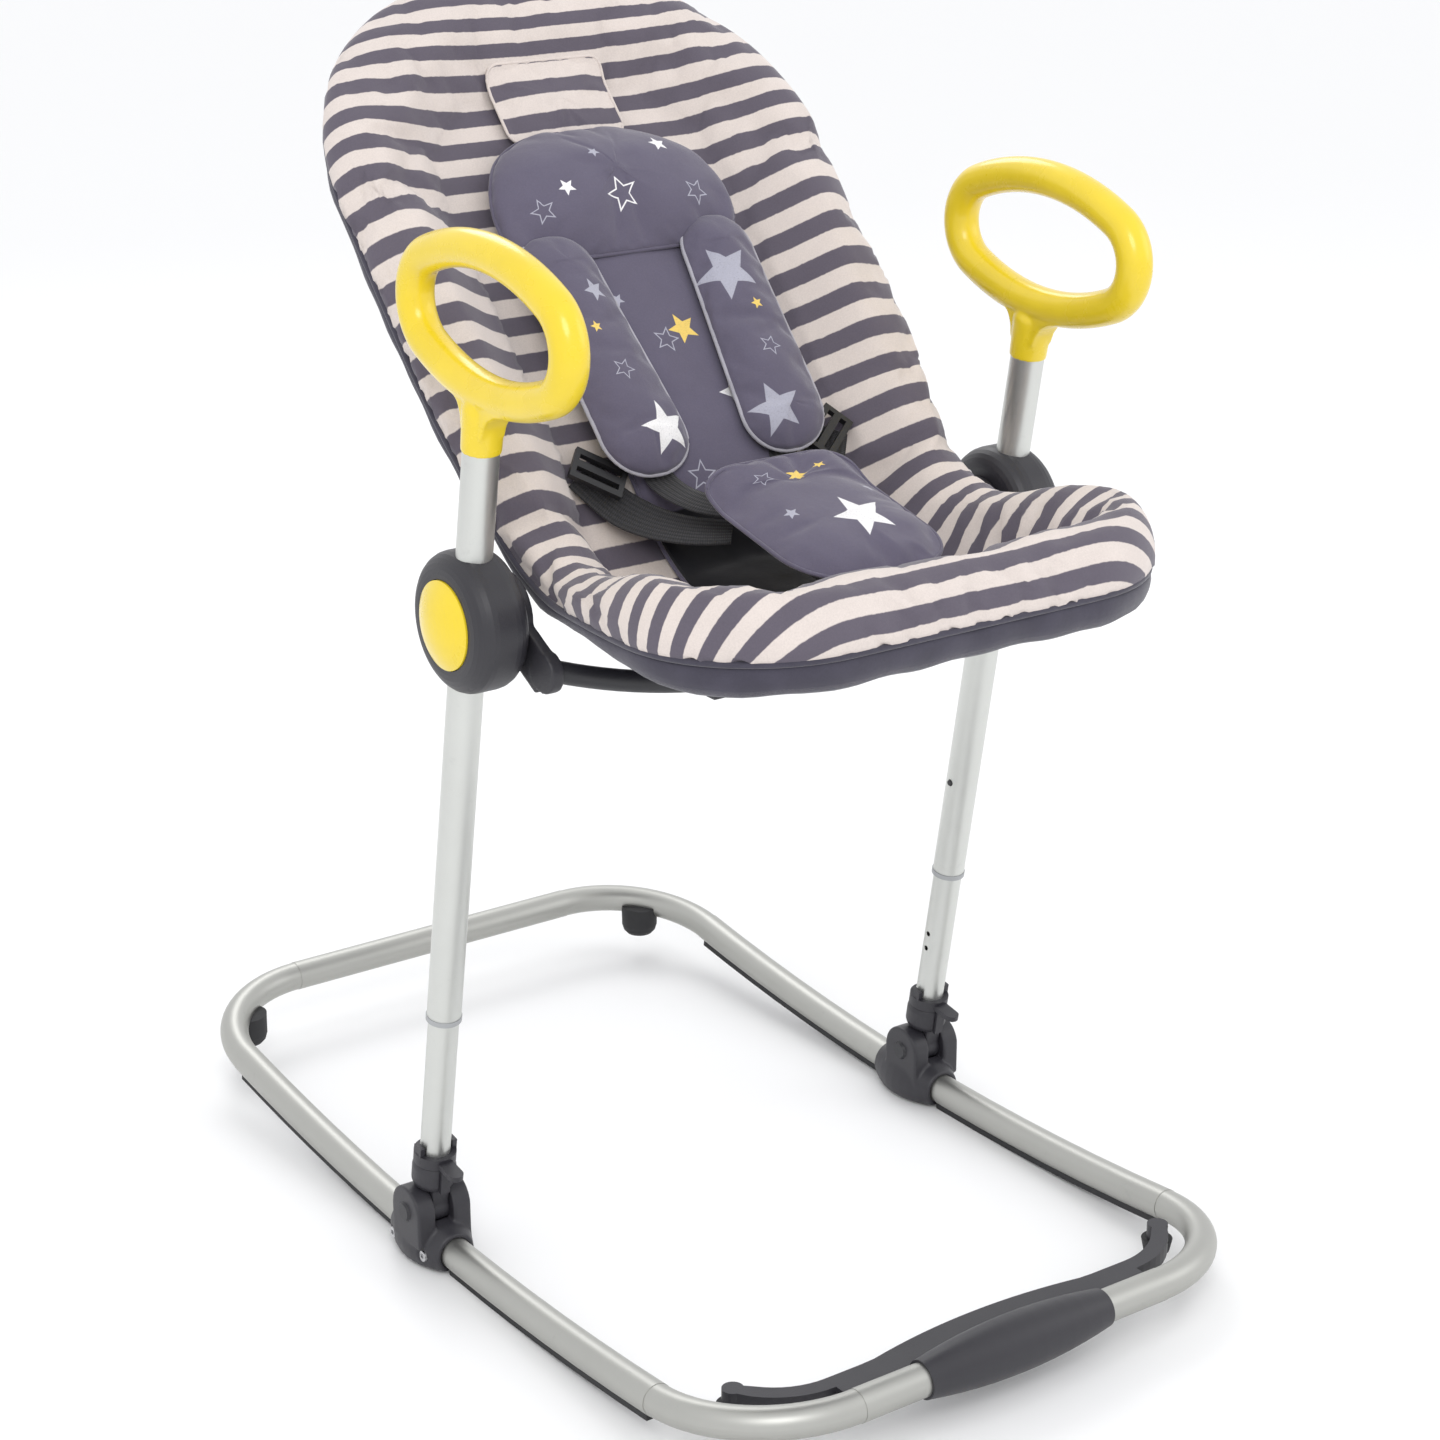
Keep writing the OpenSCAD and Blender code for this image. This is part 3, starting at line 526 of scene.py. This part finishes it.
def slate_material(name, stars=(), tone=SLATE, black_and_shade_from=None):
    """Slate jersey with printed stars, each (x, s, size, turn, hollow, colour), black from a given s on: partly
    black cloth, partly painted shade below the crotch pad.
    """
    mat, n, bsdf, u, v, weave, fibre, rumple = fabric_base(name, 0.0009, 0.10, 0.35, 0.88)
    colour = tone
    for x, s, size, turn, hollow, ink in stars:
        node = n.add("ShaderNodeGroup", node_tree=STAR)
        given = {"U": u, "V": v, "U0": x, "V0": s, "Size": size, "Turn": turn, "Hollow": hollow}
        for key, value in given.items():
            n.put(node.inputs[key], value)
        worn = n.math("MULTIPLY", node.outputs[0], n.ramp(fibre, 0.30, 0.42, 0.72, 1.0))
        colour = n.blend(worn, colour, ink)
    # black lower panel: partly the cloth's own black, partly painted shade below the crotch pad and straps
    if black_and_shade_from is not None:
        colour = n.blend(n.ramp(v, black_and_shade_from, black_and_shade_from + 0.002), colour, BLACK_CLOTH_AND_SHADE)
    # plain slate made lighter on the crests of the soft folds and darker in their hollows: painted light and shade
    if isinstance(colour, tuple):
        colour = n.blend(n.ramp(rumple, 0.3, 0.7), shade_of(tone, 0.93), shade_of(tone, 1.05))
    n.put(bsdf.inputs["Base Color"], cloth_tone(n, colour, weave, fibre, rumple))
    return mat


def webbing_material():
    mat, tree, bsdf = new_material("black webbing")
    n = Nodes(tree)
    cloth = n.split(n.attribute("cloth", "Vector"))
    ribs = n.math("SINE", n.math("MULTIPLY", cloth[1], 2 * math.pi / 0.0016))
    cords = n.math("SINE", n.math("MULTIPLY", cloth[0], 2 * math.pi / 0.0042))
    fibre = n.noise(n.place(), 1100, 3)
    height = n.math("ADD", n.math("MULTIPLY", ribs, 0.5), n.math("ADD", n.math("MULTIPLY", cords, 0.5), fibre))
    n.put(bsdf.inputs["Normal"], n.bump(height, 0.00025, 0.9))
    shade = n.ramp(height, -0.4, 1.6)
    n.put(bsdf.inputs["Base Color"], n.blend(shade, (0.010, 0.010, 0.012), (0.034, 0.033, 0.038)))
    bsdf.inputs["Roughness"].default_value = 0.72
    bsdf.inputs["Sheen Weight"].default_value = 0.2
    return mat


def metal_material(name, colour, rough, grain=0.00002):
    """Satin metal with a fine drawn grain and faint handling marks."""
    mat, tree, bsdf = new_material(name)
    n = Nodes(tree)
    place = n.place()
    fine = n.noise(place, 1600, 2)
    cloud = n.noise(place, 14, 4, 0.6)
    marks = n.ramp(n.noise(place, 85, 5, 0.7), 0.60, 0.72)
    bsdf.inputs["Metallic"].default_value = 1.0
    tone = n.blend(cloud, shade_of(colour, 0.93), shade_of(colour, 1.05))
    tone = n.blend(n.math("MULTIPLY", marks, 0.14), tone, shade_of(colour, 0.62))
    n.put(bsdf.inputs["Base Color"], tone)
    r = n.math("ADD", n.math("MULTIPLY", fine, 0.07), n.math("MULTIPLY", cloud, 0.10))
    n.put(bsdf.inputs["Roughness"], n.math("ADD", r, rough - 0.07))
    n.put(bsdf.inputs["Normal"], n.bump(fine, grain, 0.5))
    return mat


def plastic_material(name, colour, rough, grain, scale=700, coat=0.0, wear=0.10):
    """Moulded plastic: surface grain, slight tone changes and paler rubbed patches."""
    mat, tree, bsdf = new_material(name)
    n = Nodes(tree)
    place = n.place()
    pits = n.voronoi(place, scale)
    cloud = n.noise(place, 24, 4, 0.55)
    scuffs = n.ramp(n.noise(place, 130, 6, 0.72), 0.58, 0.74)
    tone = n.blend(cloud, shade_of(colour, 0.88), shade_of(colour, 1.10))
    tone = n.blend(n.math("MULTIPLY", scuffs, wear), tone, shade_of(colour, 1.5, 0.02))
    n.put(bsdf.inputs["Base Color"], tone)
    rubbed = n.math("ADD", cloud, n.math("MULTIPLY", scuffs, 0.3))
    n.put(bsdf.inputs["Roughness"], n.ramp(rubbed, 0.2, 1.1, rough - 0.06, rough + 0.10))
    n.put(bsdf.inputs["Normal"], n.bump(pits, grain, 0.6))
    bsdf.inputs["Coat Weight"].default_value = coat
    bsdf.inputs["Coat Roughness"].default_value = 0.12
    return mat


striped = striped_material()
slate_plain = slate_material("slate jersey")
pale_piping = slate_material("pale piping", tone=(0.42, 0.41, 0.46))
slate_back = slate_material("slate backing", tone=(0.060, 0.056, 0.078))
webbing = webbing_material()
aluminium = metal_material("satin aluminium", (0.64, 0.65, 0.625), 0.38)
# the tube aluminium again, made darker for the base loop: painted shade
base_aluminium_painted_shade = metal_material("base tube aluminium with painted shade", (0.46, 0.46, 0.435), 0.42)
bright_steel = metal_material("steel", (0.58, 0.58, 0.59), 0.30)
powder = plastic_material("powder coat", (0.020, 0.020, 0.024), 0.48, 0.00012, 900)
charcoal = plastic_material("charcoal plastic", (0.026, 0.025, 0.031), 0.46, 0.00010, 1100, wear=0.06)
grey_plastic = plastic_material("grey plastic", (0.36, 0.37, 0.38), 0.45, 0.00008)
black_plastic = plastic_material("black plastic", (0.018, 0.018, 0.020), 0.42, 0.00008)
yellow = plastic_material("yellow plastic", (0.80, 0.60, 0.020), 0.30, 0.00002, 500, coat=0.35, wear=0.03)
rubber = plastic_material("black rubber", (0.020, 0.020, 0.022), 0.70, 0.00012, 1400)

SLOT_MATERIALS = {
    "tube_aluminium": aluminium,
    "charcoal_plastic": charcoal,
    "grey_plastic": grey_plastic,
    "black_plastic": black_plastic,
    "yellow_plastic": yellow,
    "steel": bright_steel,
    "charcoal_steel": powder,
    "black_rubber": rubber,
    "striped_fabric": striped,
    "slate_fabric": slate_plain,
    "black_webbing": webbing,
}

slot_of = {s["node"]: s["material_slot"] for s in frame["record"]["subparts"]}
for node, obj in frame["nodes"].items():
    obj.data.materials.clear()
    # the base loop takes the darker copy of the tube aluminium, which is painted shade
    obj.data.materials.append(base_aluminium_painted_shade if node == "base_loop" else SLOT_MATERIALS[slot_of[node]])

# bevel radius of the edges, on single nodes and on pairs named _left and _right
EDGES = {
    "harness_buckle": 0.0025,
    "strap_adjusters": 0.0007,
    "pedal_bar": 0.0020,
    "pedal_pad": 0.0020,
    "yoke_saddles": 0.0020,
}
PAIRED_EDGES = {"fold_latch": 0.0008, "hub": 0.0004, "hub_button": 0.0009}
# paired mouldings whose inner corners also flow together: (voxel, smoothing steps)
PAIRED_MOULDINGS = {
    "pivot_housing": (0.0010, 14),
    "pivot_knuckle": (0.0008, 5),
    "grip_ring": (0.0008, 40),
    "hub_bracket": (0.0010, 14),
}


def both_sides(pairs):
    return {name + side: value for name, value in pairs.items() for side in ("_left", "_right")}


for node, (voxel, steps) in both_sides(PAIRED_MOULDINGS).items():
    obj = frame["nodes"][node]
    remesh = obj.modifiers.new("Skin", "REMESH")
    remesh.mode = "VOXEL"
    remesh.voxel_size = voxel
    remesh.use_smooth_shade = True
    soften = obj.modifiers.new("Soften", "SMOOTH")
    soften.factor = 0.5
    soften.iterations = steps
for node, radius in (EDGES | both_sides(PAIRED_EDGES)).items():
    obj = frame["nodes"][node]
    mod = obj.modifiers.new("Edges", "BEVEL")
    mod.width = radius
    mod.segments = 3
    mod.limit_method = "ANGLE"
    mod.angle_limit = math.radians(40)


def finish_piece(obj, mat, replaced=()):
    """Gives a seat piece its material and its body, and hides the nodes it replaces."""
    obj.data.materials.clear()
    obj.data.materials.append(mat)
    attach(obj, "seat")
    if replaced:
        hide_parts(*replaced)
    return obj


# ---------------------------------------------------------------- striped cover
# cloth places of the stripe edges from head to foot, and the stripe phase at each
STRIPE_V = [-0.062, -0.040, -0.018, 0.005, 0.027, 0.0535, 0.083, 0.109, 0.138]
STRIPE_V += [0.138 + 0.031 * k for k in range(1, 11)]
STRIPE_V += [0.475, 0.499, 0.524, 0.549, 0.575, 0.602]
STRIPE_V += [0.602 + 0.0275 * k for k in range(1, 10)]
STRIPE_K = list(range(-8, len(STRIPE_V) - 8))
SPINE_HEAD, SPINE_FOOT = 0.20, 0.16
PIPE_OUT, PIPE_H, PIPE_R = 0.0232, -0.0040, 0.0026
COVER_THICK = 0.0145  # cover at the dish


def seat_rim(step):
    """The seat's edge line with its outward directions, and the middle line its rings close on."""
    edge, out = rim(HALF_W, 0.0, LEN, HEAD_CR, FOOT_CR, step)
    spine = np.stack([np.zeros(len(edge)), np.clip(edge[:, 1], SPINE_HEAD, LEN - SPINE_FOOT)], 1)
    return edge, out, spine


def seat_point(flat):
    """Sheet place with the outline's waist applied."""
    s = flat[:, 1]
    return flat[:, 0] * width_at(s) / HALF_W, s


def cover():
    """Striped padded cover: rings from the edge roll down the flank to the dish, and its hidden underside."""
    edge, out, spine = seat_rim(0.0065)
    mid_dish = (DISH_BACK + DISH_SEAT) / 2
    # section from the outside in: the roll as (inset, height), then the flank, whose height follows the dish
    section = [(-ROLL * math.cos(a), ROLL * math.sin(a) + LEG) for a in np.radians(np.linspace(-8, 90, 12))]
    seam_ring = len(section) + 10
    section += [(e, None) for e in np.linspace(0, FLANK, 12)[1:]]
    top, cloth, pins = [], [], []

    def height(e, h, grow, depth):
        if h is None:
            return mix(grow * ROLL + LEG, -depth, smooth(e / FLANK))
        return LEG + (h - LEG) * grow

    def cloth_run(grow):
        """Cloth length from the inner seam outwards, measured on the section at mid dish."""
        places = [(e, float(height(e, h, grow, mid_dish))) for e, h in section]
        dist = [0.0]
        for (e0, h0), (e1, h1) in zip(places[:0:-1], places[-2::-1]):
            dist.append(dist[-1] + math.hypot(e1 - e0, h1 - h0))
        return dist[::-1]

    inner = edge - FLANK * out
    for (e, h), low_d, high_d in zip(section, cloth_run(1.0), cloth_run(1 + FOOT_SWELL)):
        x, s = seat_point(edge - e * out)
        d = mix(low_d, high_d, (swell(s) - 1) / FOOT_SWELL)[:, None]
        top.append(at(x, s, height(e, h, swell(s), dish(s))))
        cloth.append(inner + d * out)
        pins.append(0.0)
    pins[0] = SOFT_PIN
    pins[seam_ring] = SEAM_PIN
    for t in np.linspace(1, 0, 9)[1:]:
        flat = spine + (inner - spine) * t
        x, s = seat_point(flat)
        top.append(at(x, s, -dish(s)))
        cloth.append(flat)
        pins.append(SEAM_PIN)
    low, low_cloth = [], []
    for e, h in ((-0.0205, -0.0050), (-0.0150, -0.0085), (-0.006, -0.0110), (0.004, -0.0130), (0.014, -0.0140)):
        flat = edge - e * out
        x, s = seat_point(flat)
        low.append(at(x, s, np.full(len(x), h)))
        low_cloth.append(flat)
    for t in (1.0, 0.8, 0.5, 0.25, 0.0):
        flat = spine + (inner - spine) * t
        x, s = seat_point(flat)
        low.append(at(x, s, -dish(s) - COVER_THICK))
        low_cloth.append(flat)
    flat_all = np.concatenate(low_cloth[::-1] + cloth)
    obj = rings_mesh("striped_cover", low[::-1] + top)
    tag_cloth(obj, flat_all)
    tag(obj, "phase", np.interp(flat_all[:, 1], STRIPE_V, STRIPE_K))
    tag(obj, "pin", np.repeat([SEAM_PIN] * len(low) + pins, len(edge)))
    weld(obj)
    inflate(obj, read_tag(obj, "pin"), pressure=3.0, cap=0.006, shrink=-0.035)
    for side, amount in ((1, 0.0075), (-1, 0.0035)):
        gathers(obj, read_tag(obj, "cloth", 3), (side * 0.104, 0.606), 0.064, 0.032, 32, amount)
    finish_piece(obj, striped, ["seat_cover"])


cover()

# dark piping under the edge roll
edge, out, _ = seat_rim(0.008)
x, s = seat_point(edge + PIPE_OUT * out)
piping = closed_tube("edge_piping", at(x, s, np.full(len(x), PIPE_H)), PIPE_R, 10)
tag(piping, "cloth", coords(piping))
finish_piece(piping, slate_back)


# ---------------------------------------------------------------- underside cover
def underside():
    """Dark cover below the shell: a slate band around the edge that runs in under the dish."""
    edge, out, spine = seat_rim(0.009)
    outer, inner_skin, cloth = [], [], []
    wall, top_h, skirt, run_in, below = 0.0038, -0.0050, 0.0250, 0.074, 0.0206
    flank = [(-0.0222, -0.0050), (-0.0236, -0.0085), (-0.0240, -0.0130), (-0.0234, -0.0180), (-0.0218, -0.0225)]
    flank += [(-0.0190, -0.0260), (-0.0150, -0.0284), (-0.0095, -0.0298), (-0.0030, -0.0300), (0.0040, -0.0300)]
    # the slate band is deep at the foot end and shallow along the sides and head
    band = mix(0.55, 1.0, smooth((edge[:, 1] - LEN + 0.150) / 0.110))
    for i, (e, h) in enumerate(flank):
        depth = top_h + (h - top_h) * band
        x, s = seat_point(edge - e * out)
        outer.append(at(x, s, depth))
        inner_skin.append(at(*seat_point(edge - (e + wall) * out), depth + (wall if i else 0.0)))
        cloth.append(edge + (0.024 - h) * out if i < 5 else edge - e * out)
    for e in np.linspace(0.014, run_in, 6):
        flat = edge - e * out
        x, s = seat_point(flat)
        h = mix(top_h - skirt * band, -dish(s) - below, smooth((e - 0.004) / 0.070))
        outer.append(at(x, s, h))
        inner_skin.append(at(x, s, h + wall))
        cloth.append(flat)
    inner = edge - run_in * out
    for t in np.linspace(1, 0, 8)[1:]:
        flat = spine + (inner - spine) * t
        x, s = seat_point(flat)
        outer.append(at(x, s, -dish(s) - below))
        inner_skin.append(at(x, s, -dish(s) - below + wall))
        cloth.append(flat)
    obj = rings_mesh("underside_cover", inner_skin[::-1] + outer)
    tag_cloth(obj, np.concatenate(cloth[::-1] + cloth))
    weld(obj)
    wrinkle(obj, 0.0022, 30, seed=3.0)
    finish_piece(obj, slate_back, ["seat_shell"])


underside()


# ---------------------------------------------------------------- pads
def pad(
    name,
    mat,
    half,
    s0,
    s1,
    r0,
    r1,
    width,
    centre,
    base,
    thick,
    replaced,
    step=0.0055,
    rings=12,
    pressure=4.0,
    folds=0.0012,
    piped=0.0016,
    pipe_mat=None,
    spine_in=0.5,
):
    """Cushion on the seat: rounded outline from s0 to s1 with corner radii r0 and r1, crowned top, piped edge.

    width(s) scales the outline, centre(s) shifts it, base(x, s) is the height it lies at. spine_in is how far the
    middle line, on which the rings close, runs towards the ends."""
    edge, out = rim(half, s0, s1, r0, r1, step)
    keep = min(half, (s1 - s0) / 2) * (1 - spine_in)
    mid = (s0 + s1) / 2
    lo, hi = s0 + (half - keep), s1 - (half - keep)
    if lo > hi:
        lo = hi = mid
    spine = np.stack([np.zeros(len(edge)), np.clip(edge[:, 1], lo, hi)], 1)

    def spot(flat):
        s = flat[:, 1]
        return flat[:, 0] * width(s) + centre(s), s

    seam_h = 0.28 * thick
    ts = np.sin(np.linspace(0, math.pi / 2, rings + 1))
    top, low, cloth = [], [], []
    for t in ts[::-1]:
        flat = spine + (edge - spine) * t
        x, s = spot(flat)
        rise = (1 - t**2.4) ** 0.62 if t < 1 else 0.0
        b = base(x, s)
        top.append(at(x, s, b + seam_h + (thick - seam_h) * rise))
        low.append(at(x, s, b + seam_h * (1 - rise)))
        cloth.append(np.stack([x, s], 1))
    obj = rings_mesh(name, low[:0:-1] + top)
    tag_cloth(obj, np.concatenate(cloth[:0:-1] + cloth))
    tag(obj, "pin", np.repeat([SEAM_PIN] * len(low) + [SOFT_PIN] + [0.0] * (rings - 1), len(edge)))
    weld(obj)
    pins = read_tag(obj, "pin")
    inflate(obj, pins, pressure=pressure, cap=0.006, shrink=-0.04)
    wrinkle(obj, folds, 38, mask=1 - pins, seed=len(name))
    subdivide(obj, 1)
    finish_piece(obj, mat, replaced)
    x, s = spot(edge)
    line = closed_tube(name + "_piping", at(x, s, base(x, s) + seam_h), piped, 8)
    tag(line, "cloth", coords(line))
    finish_piece(line, pipe_mat or slate_plain)
    return obj, line


def flat_width(s):
    return np.ones_like(s)


def no_shift(s):
    return np.zeros_like(s)


insert_mat = slate_material(
    "slate insert",
    [
        (0.014, 0.293, 0.013, 0.3, 0.0, GOLD),
        (-0.004, 0.300, 0.011, 0.9, 1.0, PALE),
        (0.036, 0.352, 0.016, 0.2, 0.0, WHITE),
        (-0.030, 0.262, 0.006, 0.5, 0.0, PALE),
        (-0.020, 0.410, 0.012, 1.1, 1.0, PALE),
        (0.030, 0.430, 0.007, 0.0, 0.0, GOLD),
    ],
    # the black lower part is partly black cloth and partly painted shade below the crotch pad and straps
    black_and_shade_from=0.428,
)
pad(
    "insert_cushion",
    insert_mat,
    half=0.092,
    s0=0.140,
    s1=0.562,
    r0=0.070,
    r1=0.056,
    width=lambda s: mix(1.0, 62 / 92, smooth((s - 0.14) / 0.422)),
    centre=no_shift,
    base=lambda x, s: pad_top(x, s) + 0.0005,
    thick=0.012,
    replaced=["insert_pad"],
    step=0.007,
)

hugger_mat = slate_material(
    "slate hugger",
    [
        (0.000, 0.187, 0.014, 0.25, 1.0, WHITE),
        (-0.046, 0.176, 0.007, 0.4, 0.0, WHITE),
        (0.050, 0.146, 0.008, 0.1, 0.0, WHITE),
        (0.064, 0.190, 0.011, 0.7, 1.0, PALE),
        (-0.070, 0.190, 0.010, 0.2, 1.0, PALE),
        (-0.012, 0.150, 0.005, 0.5, 0.0, PALE),
    ],
)
pad(
    "head_hugger_cushion",
    hugger_mat,
    half=0.104,
    s0=0.108,
    s1=0.224,
    r0=0.084,
    r1=0.030,
    width=flat_width,
    centre=no_shift,
    base=lambda x, s: pad_top(x, s) + 0.0120 * smooth((s - 0.115) / 0.04),
    thick=0.028,
    replaced=["head_hugger"],
    pressure=5.0,
)

SIDES = ((-1, "left"), (1, "right"))
for side, name in SIDES:
    star_mat = slate_material(
        "slate shoulder " + name,
        [
            (side * 0.050, 0.379, 0.021, 0.15, 0.0, WHITE if side < 0 else PALE),
            (side * 0.066, 0.330, 0.009, 0.7, 1.0, PALE),
            (side * 0.060, 0.262, 0.024 if side > 0 else 0.010, 0.35, 0.0, PALE),
            (side * 0.072, 0.292, 0.005, 0.2, 0.0, GOLD),
        ],
    )
    pad(
        "shoulder_cushion_" + name,
        star_mat,
        half=0.034,
        s0=0.206,
        s1=0.408,
        r0=0.028,
        r1=0.032,
        width=lambda s: mix(0.90, 1.08, smooth((s - 0.206) / 0.202)),
        centre=lambda s, k=side: k * mix(0.073, 0.061, (s - 0.206) / 0.202),
        base=lambda x, s: pad_top(x, s) + 0.018,
        thick=0.020,
        replaced=["shoulder_pad_" + name],
        step=0.0045,
        rings=9,
        pipe_mat=pale_piping,
        spine_in=0.9,
    )

crotch_mat = slate_material(
    "slate crotch",
    [
        (0.018, 0.566, 0.023, 0.2, 0.0, WHITE),
        (-0.026, 0.500, 0.010, 0.6, 1.0, PALE),
        (0.004, 0.500, 0.010, 0.9, 0.0, GOLD),
        (0.026, 0.494, 0.006, 0.4, 0.0, GOLD),
        (-0.030, 0.548, 0.006, 0.1, 0.0, PALE),
        (0.052, 0.530, 0.006, 0.5, 0.0, PALE),
    ],
)
pad(
    "crotch_cushion",
    crotch_mat,
    half=0.066,
    s0=0.458,
    s1=0.612,
    r0=0.034,
    r1=0.040,
    width=flat_width,
    centre=lambda s: mix(-0.005, 0.011, (s - 0.458) / 0.154),
    base=lambda x, s: mix(0.057, 0.004, np.clip((s - 0.458) / 0.154, 0, 1)),
    thick=0.014,
    replaced=["crotch_pad"],
    step=0.0045,
    rings=9,
    spine_in=0.8,
)

# striped flap at the head end, sewn on with its stripes shifted
FLAP_SHIFT = 0.014
flap, flap_piping = pad(
    "head_flap",
    striped,
    half=0.052,
    s0=0.046,
    s1=0.112,
    r0=0.010,
    r1=0.010,
    width=flat_width,
    centre=no_shift,
    base=lambda x, s: pad_top(x, s) + 0.0055,
    thick=0.0040,
    replaced=[],
    rings=6,
    folds=0.0006,
    piped=0.0012,
    pipe_mat=striped,
    spine_in=0.9,
)
tag(flap, "phase", np.interp(read_tag(flap, "cloth", 3)[:, 1] - FLAP_SHIFT, STRIPE_V, STRIPE_K))
tag(flap_piping, "phase", np.full(len(flap_piping.data.vertices), 0.5))


# ---------------------------------------------------------------- webbing
STRAP_STEPS = 60
# section of the webbing, from edge to edge: places across and share of the half thickness
STRAP_ACROSS = np.array([-1, -0.97, -0.6, -0.2, 0.2, 0.6, 0.97, 1])
STRAP_LIFT = np.array([0.5, 0.92, 1, 0.94, 0.94, 1, 0.92, 0.5])


def strap(name, path, width, thick, replaced):
    """Flat webbing through (x, s, height over the padding) points."""
    path = np.array(path, float)
    k = len(path) - 1

    def curve(u):
        """Smooth curve through the path's points."""
        i = np.minimum(np.floor(u * k).astype(int), k - 1)
        f = (u * k - i)[:, None]
        a, b, c, d = (path[np.clip(i + j, 0, k)] for j in (-1, 0, 1, 2))
        return 0.5 * (2 * b + (c - a) * f + (2 * a - 5 * b + 4 * c - d) * f**2 + (3 * b - a - 3 * c + d) * f**3)

    u = np.linspace(0, 1, STRAP_STEPS + 1)
    mid = curve(u)
    ahead = curve(np.minimum(u + 0.02, 1)) - curve(np.maximum(u - 0.02, 0))
    across = np.stack([ahead[:, 1], -ahead[:, 0]], 1)
    across /= np.linalg.norm(across, axis=1)[:, None]
    base = pad_top(mid[:, 0], mid[:, 1])
    steps = np.diff(at(mid[:, 0], mid[:, 1], base + mid[:, 2]), axis=0)
    length = np.r_[0, np.cumsum(np.linalg.norm(steps, axis=1))]
    q = np.r_[STRAP_ACROSS, STRAP_ACROSS[::-1]] * width / 2
    lift = np.r_[STRAP_LIFT, -STRAP_LIFT[::-1]] * thick / 2
    x, s = (mid[:, [axis]] + across[:, [axis]] * q for axis in (0, 1))
    h = (base + mid[:, 2] + thick / 2)[:, None] + lift
    n = len(q)
    faces = []
    for i in range(STRAP_STEPS):
        for j in range(n):
            a, b = i * n + j, i * n + (j + 1) % n
            faces.append((a, a + n, b + n, b))
    faces.append(tuple(range(n)))
    faces.append(tuple(STRAP_STEPS * n + j for j in range(n - 1, -1, -1)))
    obj = add_mesh(name, at(x, s, h).reshape(-1, 3), faces)
    tag_cloth(obj, np.column_stack([np.tile(q, len(u)), np.repeat(length, n)]))
    finish_piece(obj, webbing, replaced)


WAIST_PATH = [(0.112, 0.388, 0.003), (0.092, 0.420, 0.008), (0.064, 0.456, 0.030), (0.034, 0.478, 0.042)]
SHOULDER_PATH = [(0.058, 0.380, 0.0142), (0.056, 0.408, 0.0154), (0.048, 0.438, 0.036), (0.028, 0.464, 0.050)]
CROTCH_PATH = [(0, 0.600, 0.030), (0, 0.566, 0.035), (0, 0.532, 0.040), (0, 0.502, 0.043)]
SIDE_STRAPS = (("waist", WAIST_PATH, 0.034, 0.002), ("shoulder", SHOULDER_PATH, 0.025, 0.0016))
for side, name in SIDES:
    for kind, path, width, thick in SIDE_STRAPS:
        strap(
            kind + "_webbing_" + name,
            [(side * x, s, h) for x, s, h in path],
            width,
            thick,
            [kind + "_strap_" + name],
        )
strap("crotch_webbing", CROTCH_PATH, 0.038, 0.002, ["crotch_strap"])

# ---------------------------------------------------------------- floor, light and camera
FLOOR = 40
corners = [(-FLOOR, -FLOOR, 0), (FLOOR, -FLOOR, 0), (FLOOR, FLOOR, 0), (-FLOOR, FLOOR, 0)]
floor = add_mesh("floor", corners, [(0, 1, 2, 3)])
floor_mat, _, bsdf = new_material("pale floor")
bsdf.inputs["Base Color"].default_value = (0.92, 0.92, 0.92, 1)
bsdf.inputs["Roughness"].default_value = 0.6
floor.data.materials.append(floor_mat)

world = bpy.data.worlds.new("studio")
bpy.context.scene.world = world
world.use_nodes = True
sky = world.node_tree.nodes["Background"]
sky.inputs["Color"].default_value = (0.98, 0.985, 1.0, 1)
sky.inputs["Strength"].default_value = 1.06


def area_light(name, place, target, size, power):
    """Round soft light at a place, facing the target."""
    data = bpy.data.lights.new(name, "AREA")
    data.shape = "DISK"
    data.size = size
    data.energy = power
    light = bpy.data.objects.new(name, data)
    bpy.context.scene.collection.objects.link(light)
    light.location = place
    light.rotation_euler = (Vector(target) - Vector(place)).to_track_quat("-Z", "Y").to_euler()


bpy.context.scene.view_settings.view_transform = "Standard"

CENTRE = (0, -0.05, 0.5)
area_light("key", (-1.6, -2.4, 2.6), CENTRE, 1.6, 30)
area_light("fill", (2.2, -1.6, 1.6), CENTRE, 1.8, 8)
area_light("back", (0.8, 2.2, 2.4), CENTRE, 1.4, 14)

CAMERA_AT = Vector((-1.2605, -1.8378, 1.1922))
CAMERA_AZ = math.radians(-35.13)
CAMERA_EL = math.radians(19.78)
CAMERA_ROLL = math.radians(-0.19)
camera_data = bpy.data.cameras.new("camera")
camera_data.sensor_width = 36
camera_data.lens = 76.2
camera = bpy.data.objects.new("camera", camera_data)
bpy.context.scene.collection.objects.link(camera)
level = math.cos(CAMERA_EL)
back = Vector((math.sin(CAMERA_AZ) * level, -math.cos(CAMERA_AZ) * level, math.sin(CAMERA_EL)))
camera.rotation_mode = "QUATERNION"
camera.location = CAMERA_AT
roll = Matrix.Rotation(CAMERA_ROLL, 3, "Z").to_quaternion()
camera.rotation_quaternion = (-back).to_track_quat("-Z", "Y") @ roll
bpy.context.scene.camera = camera
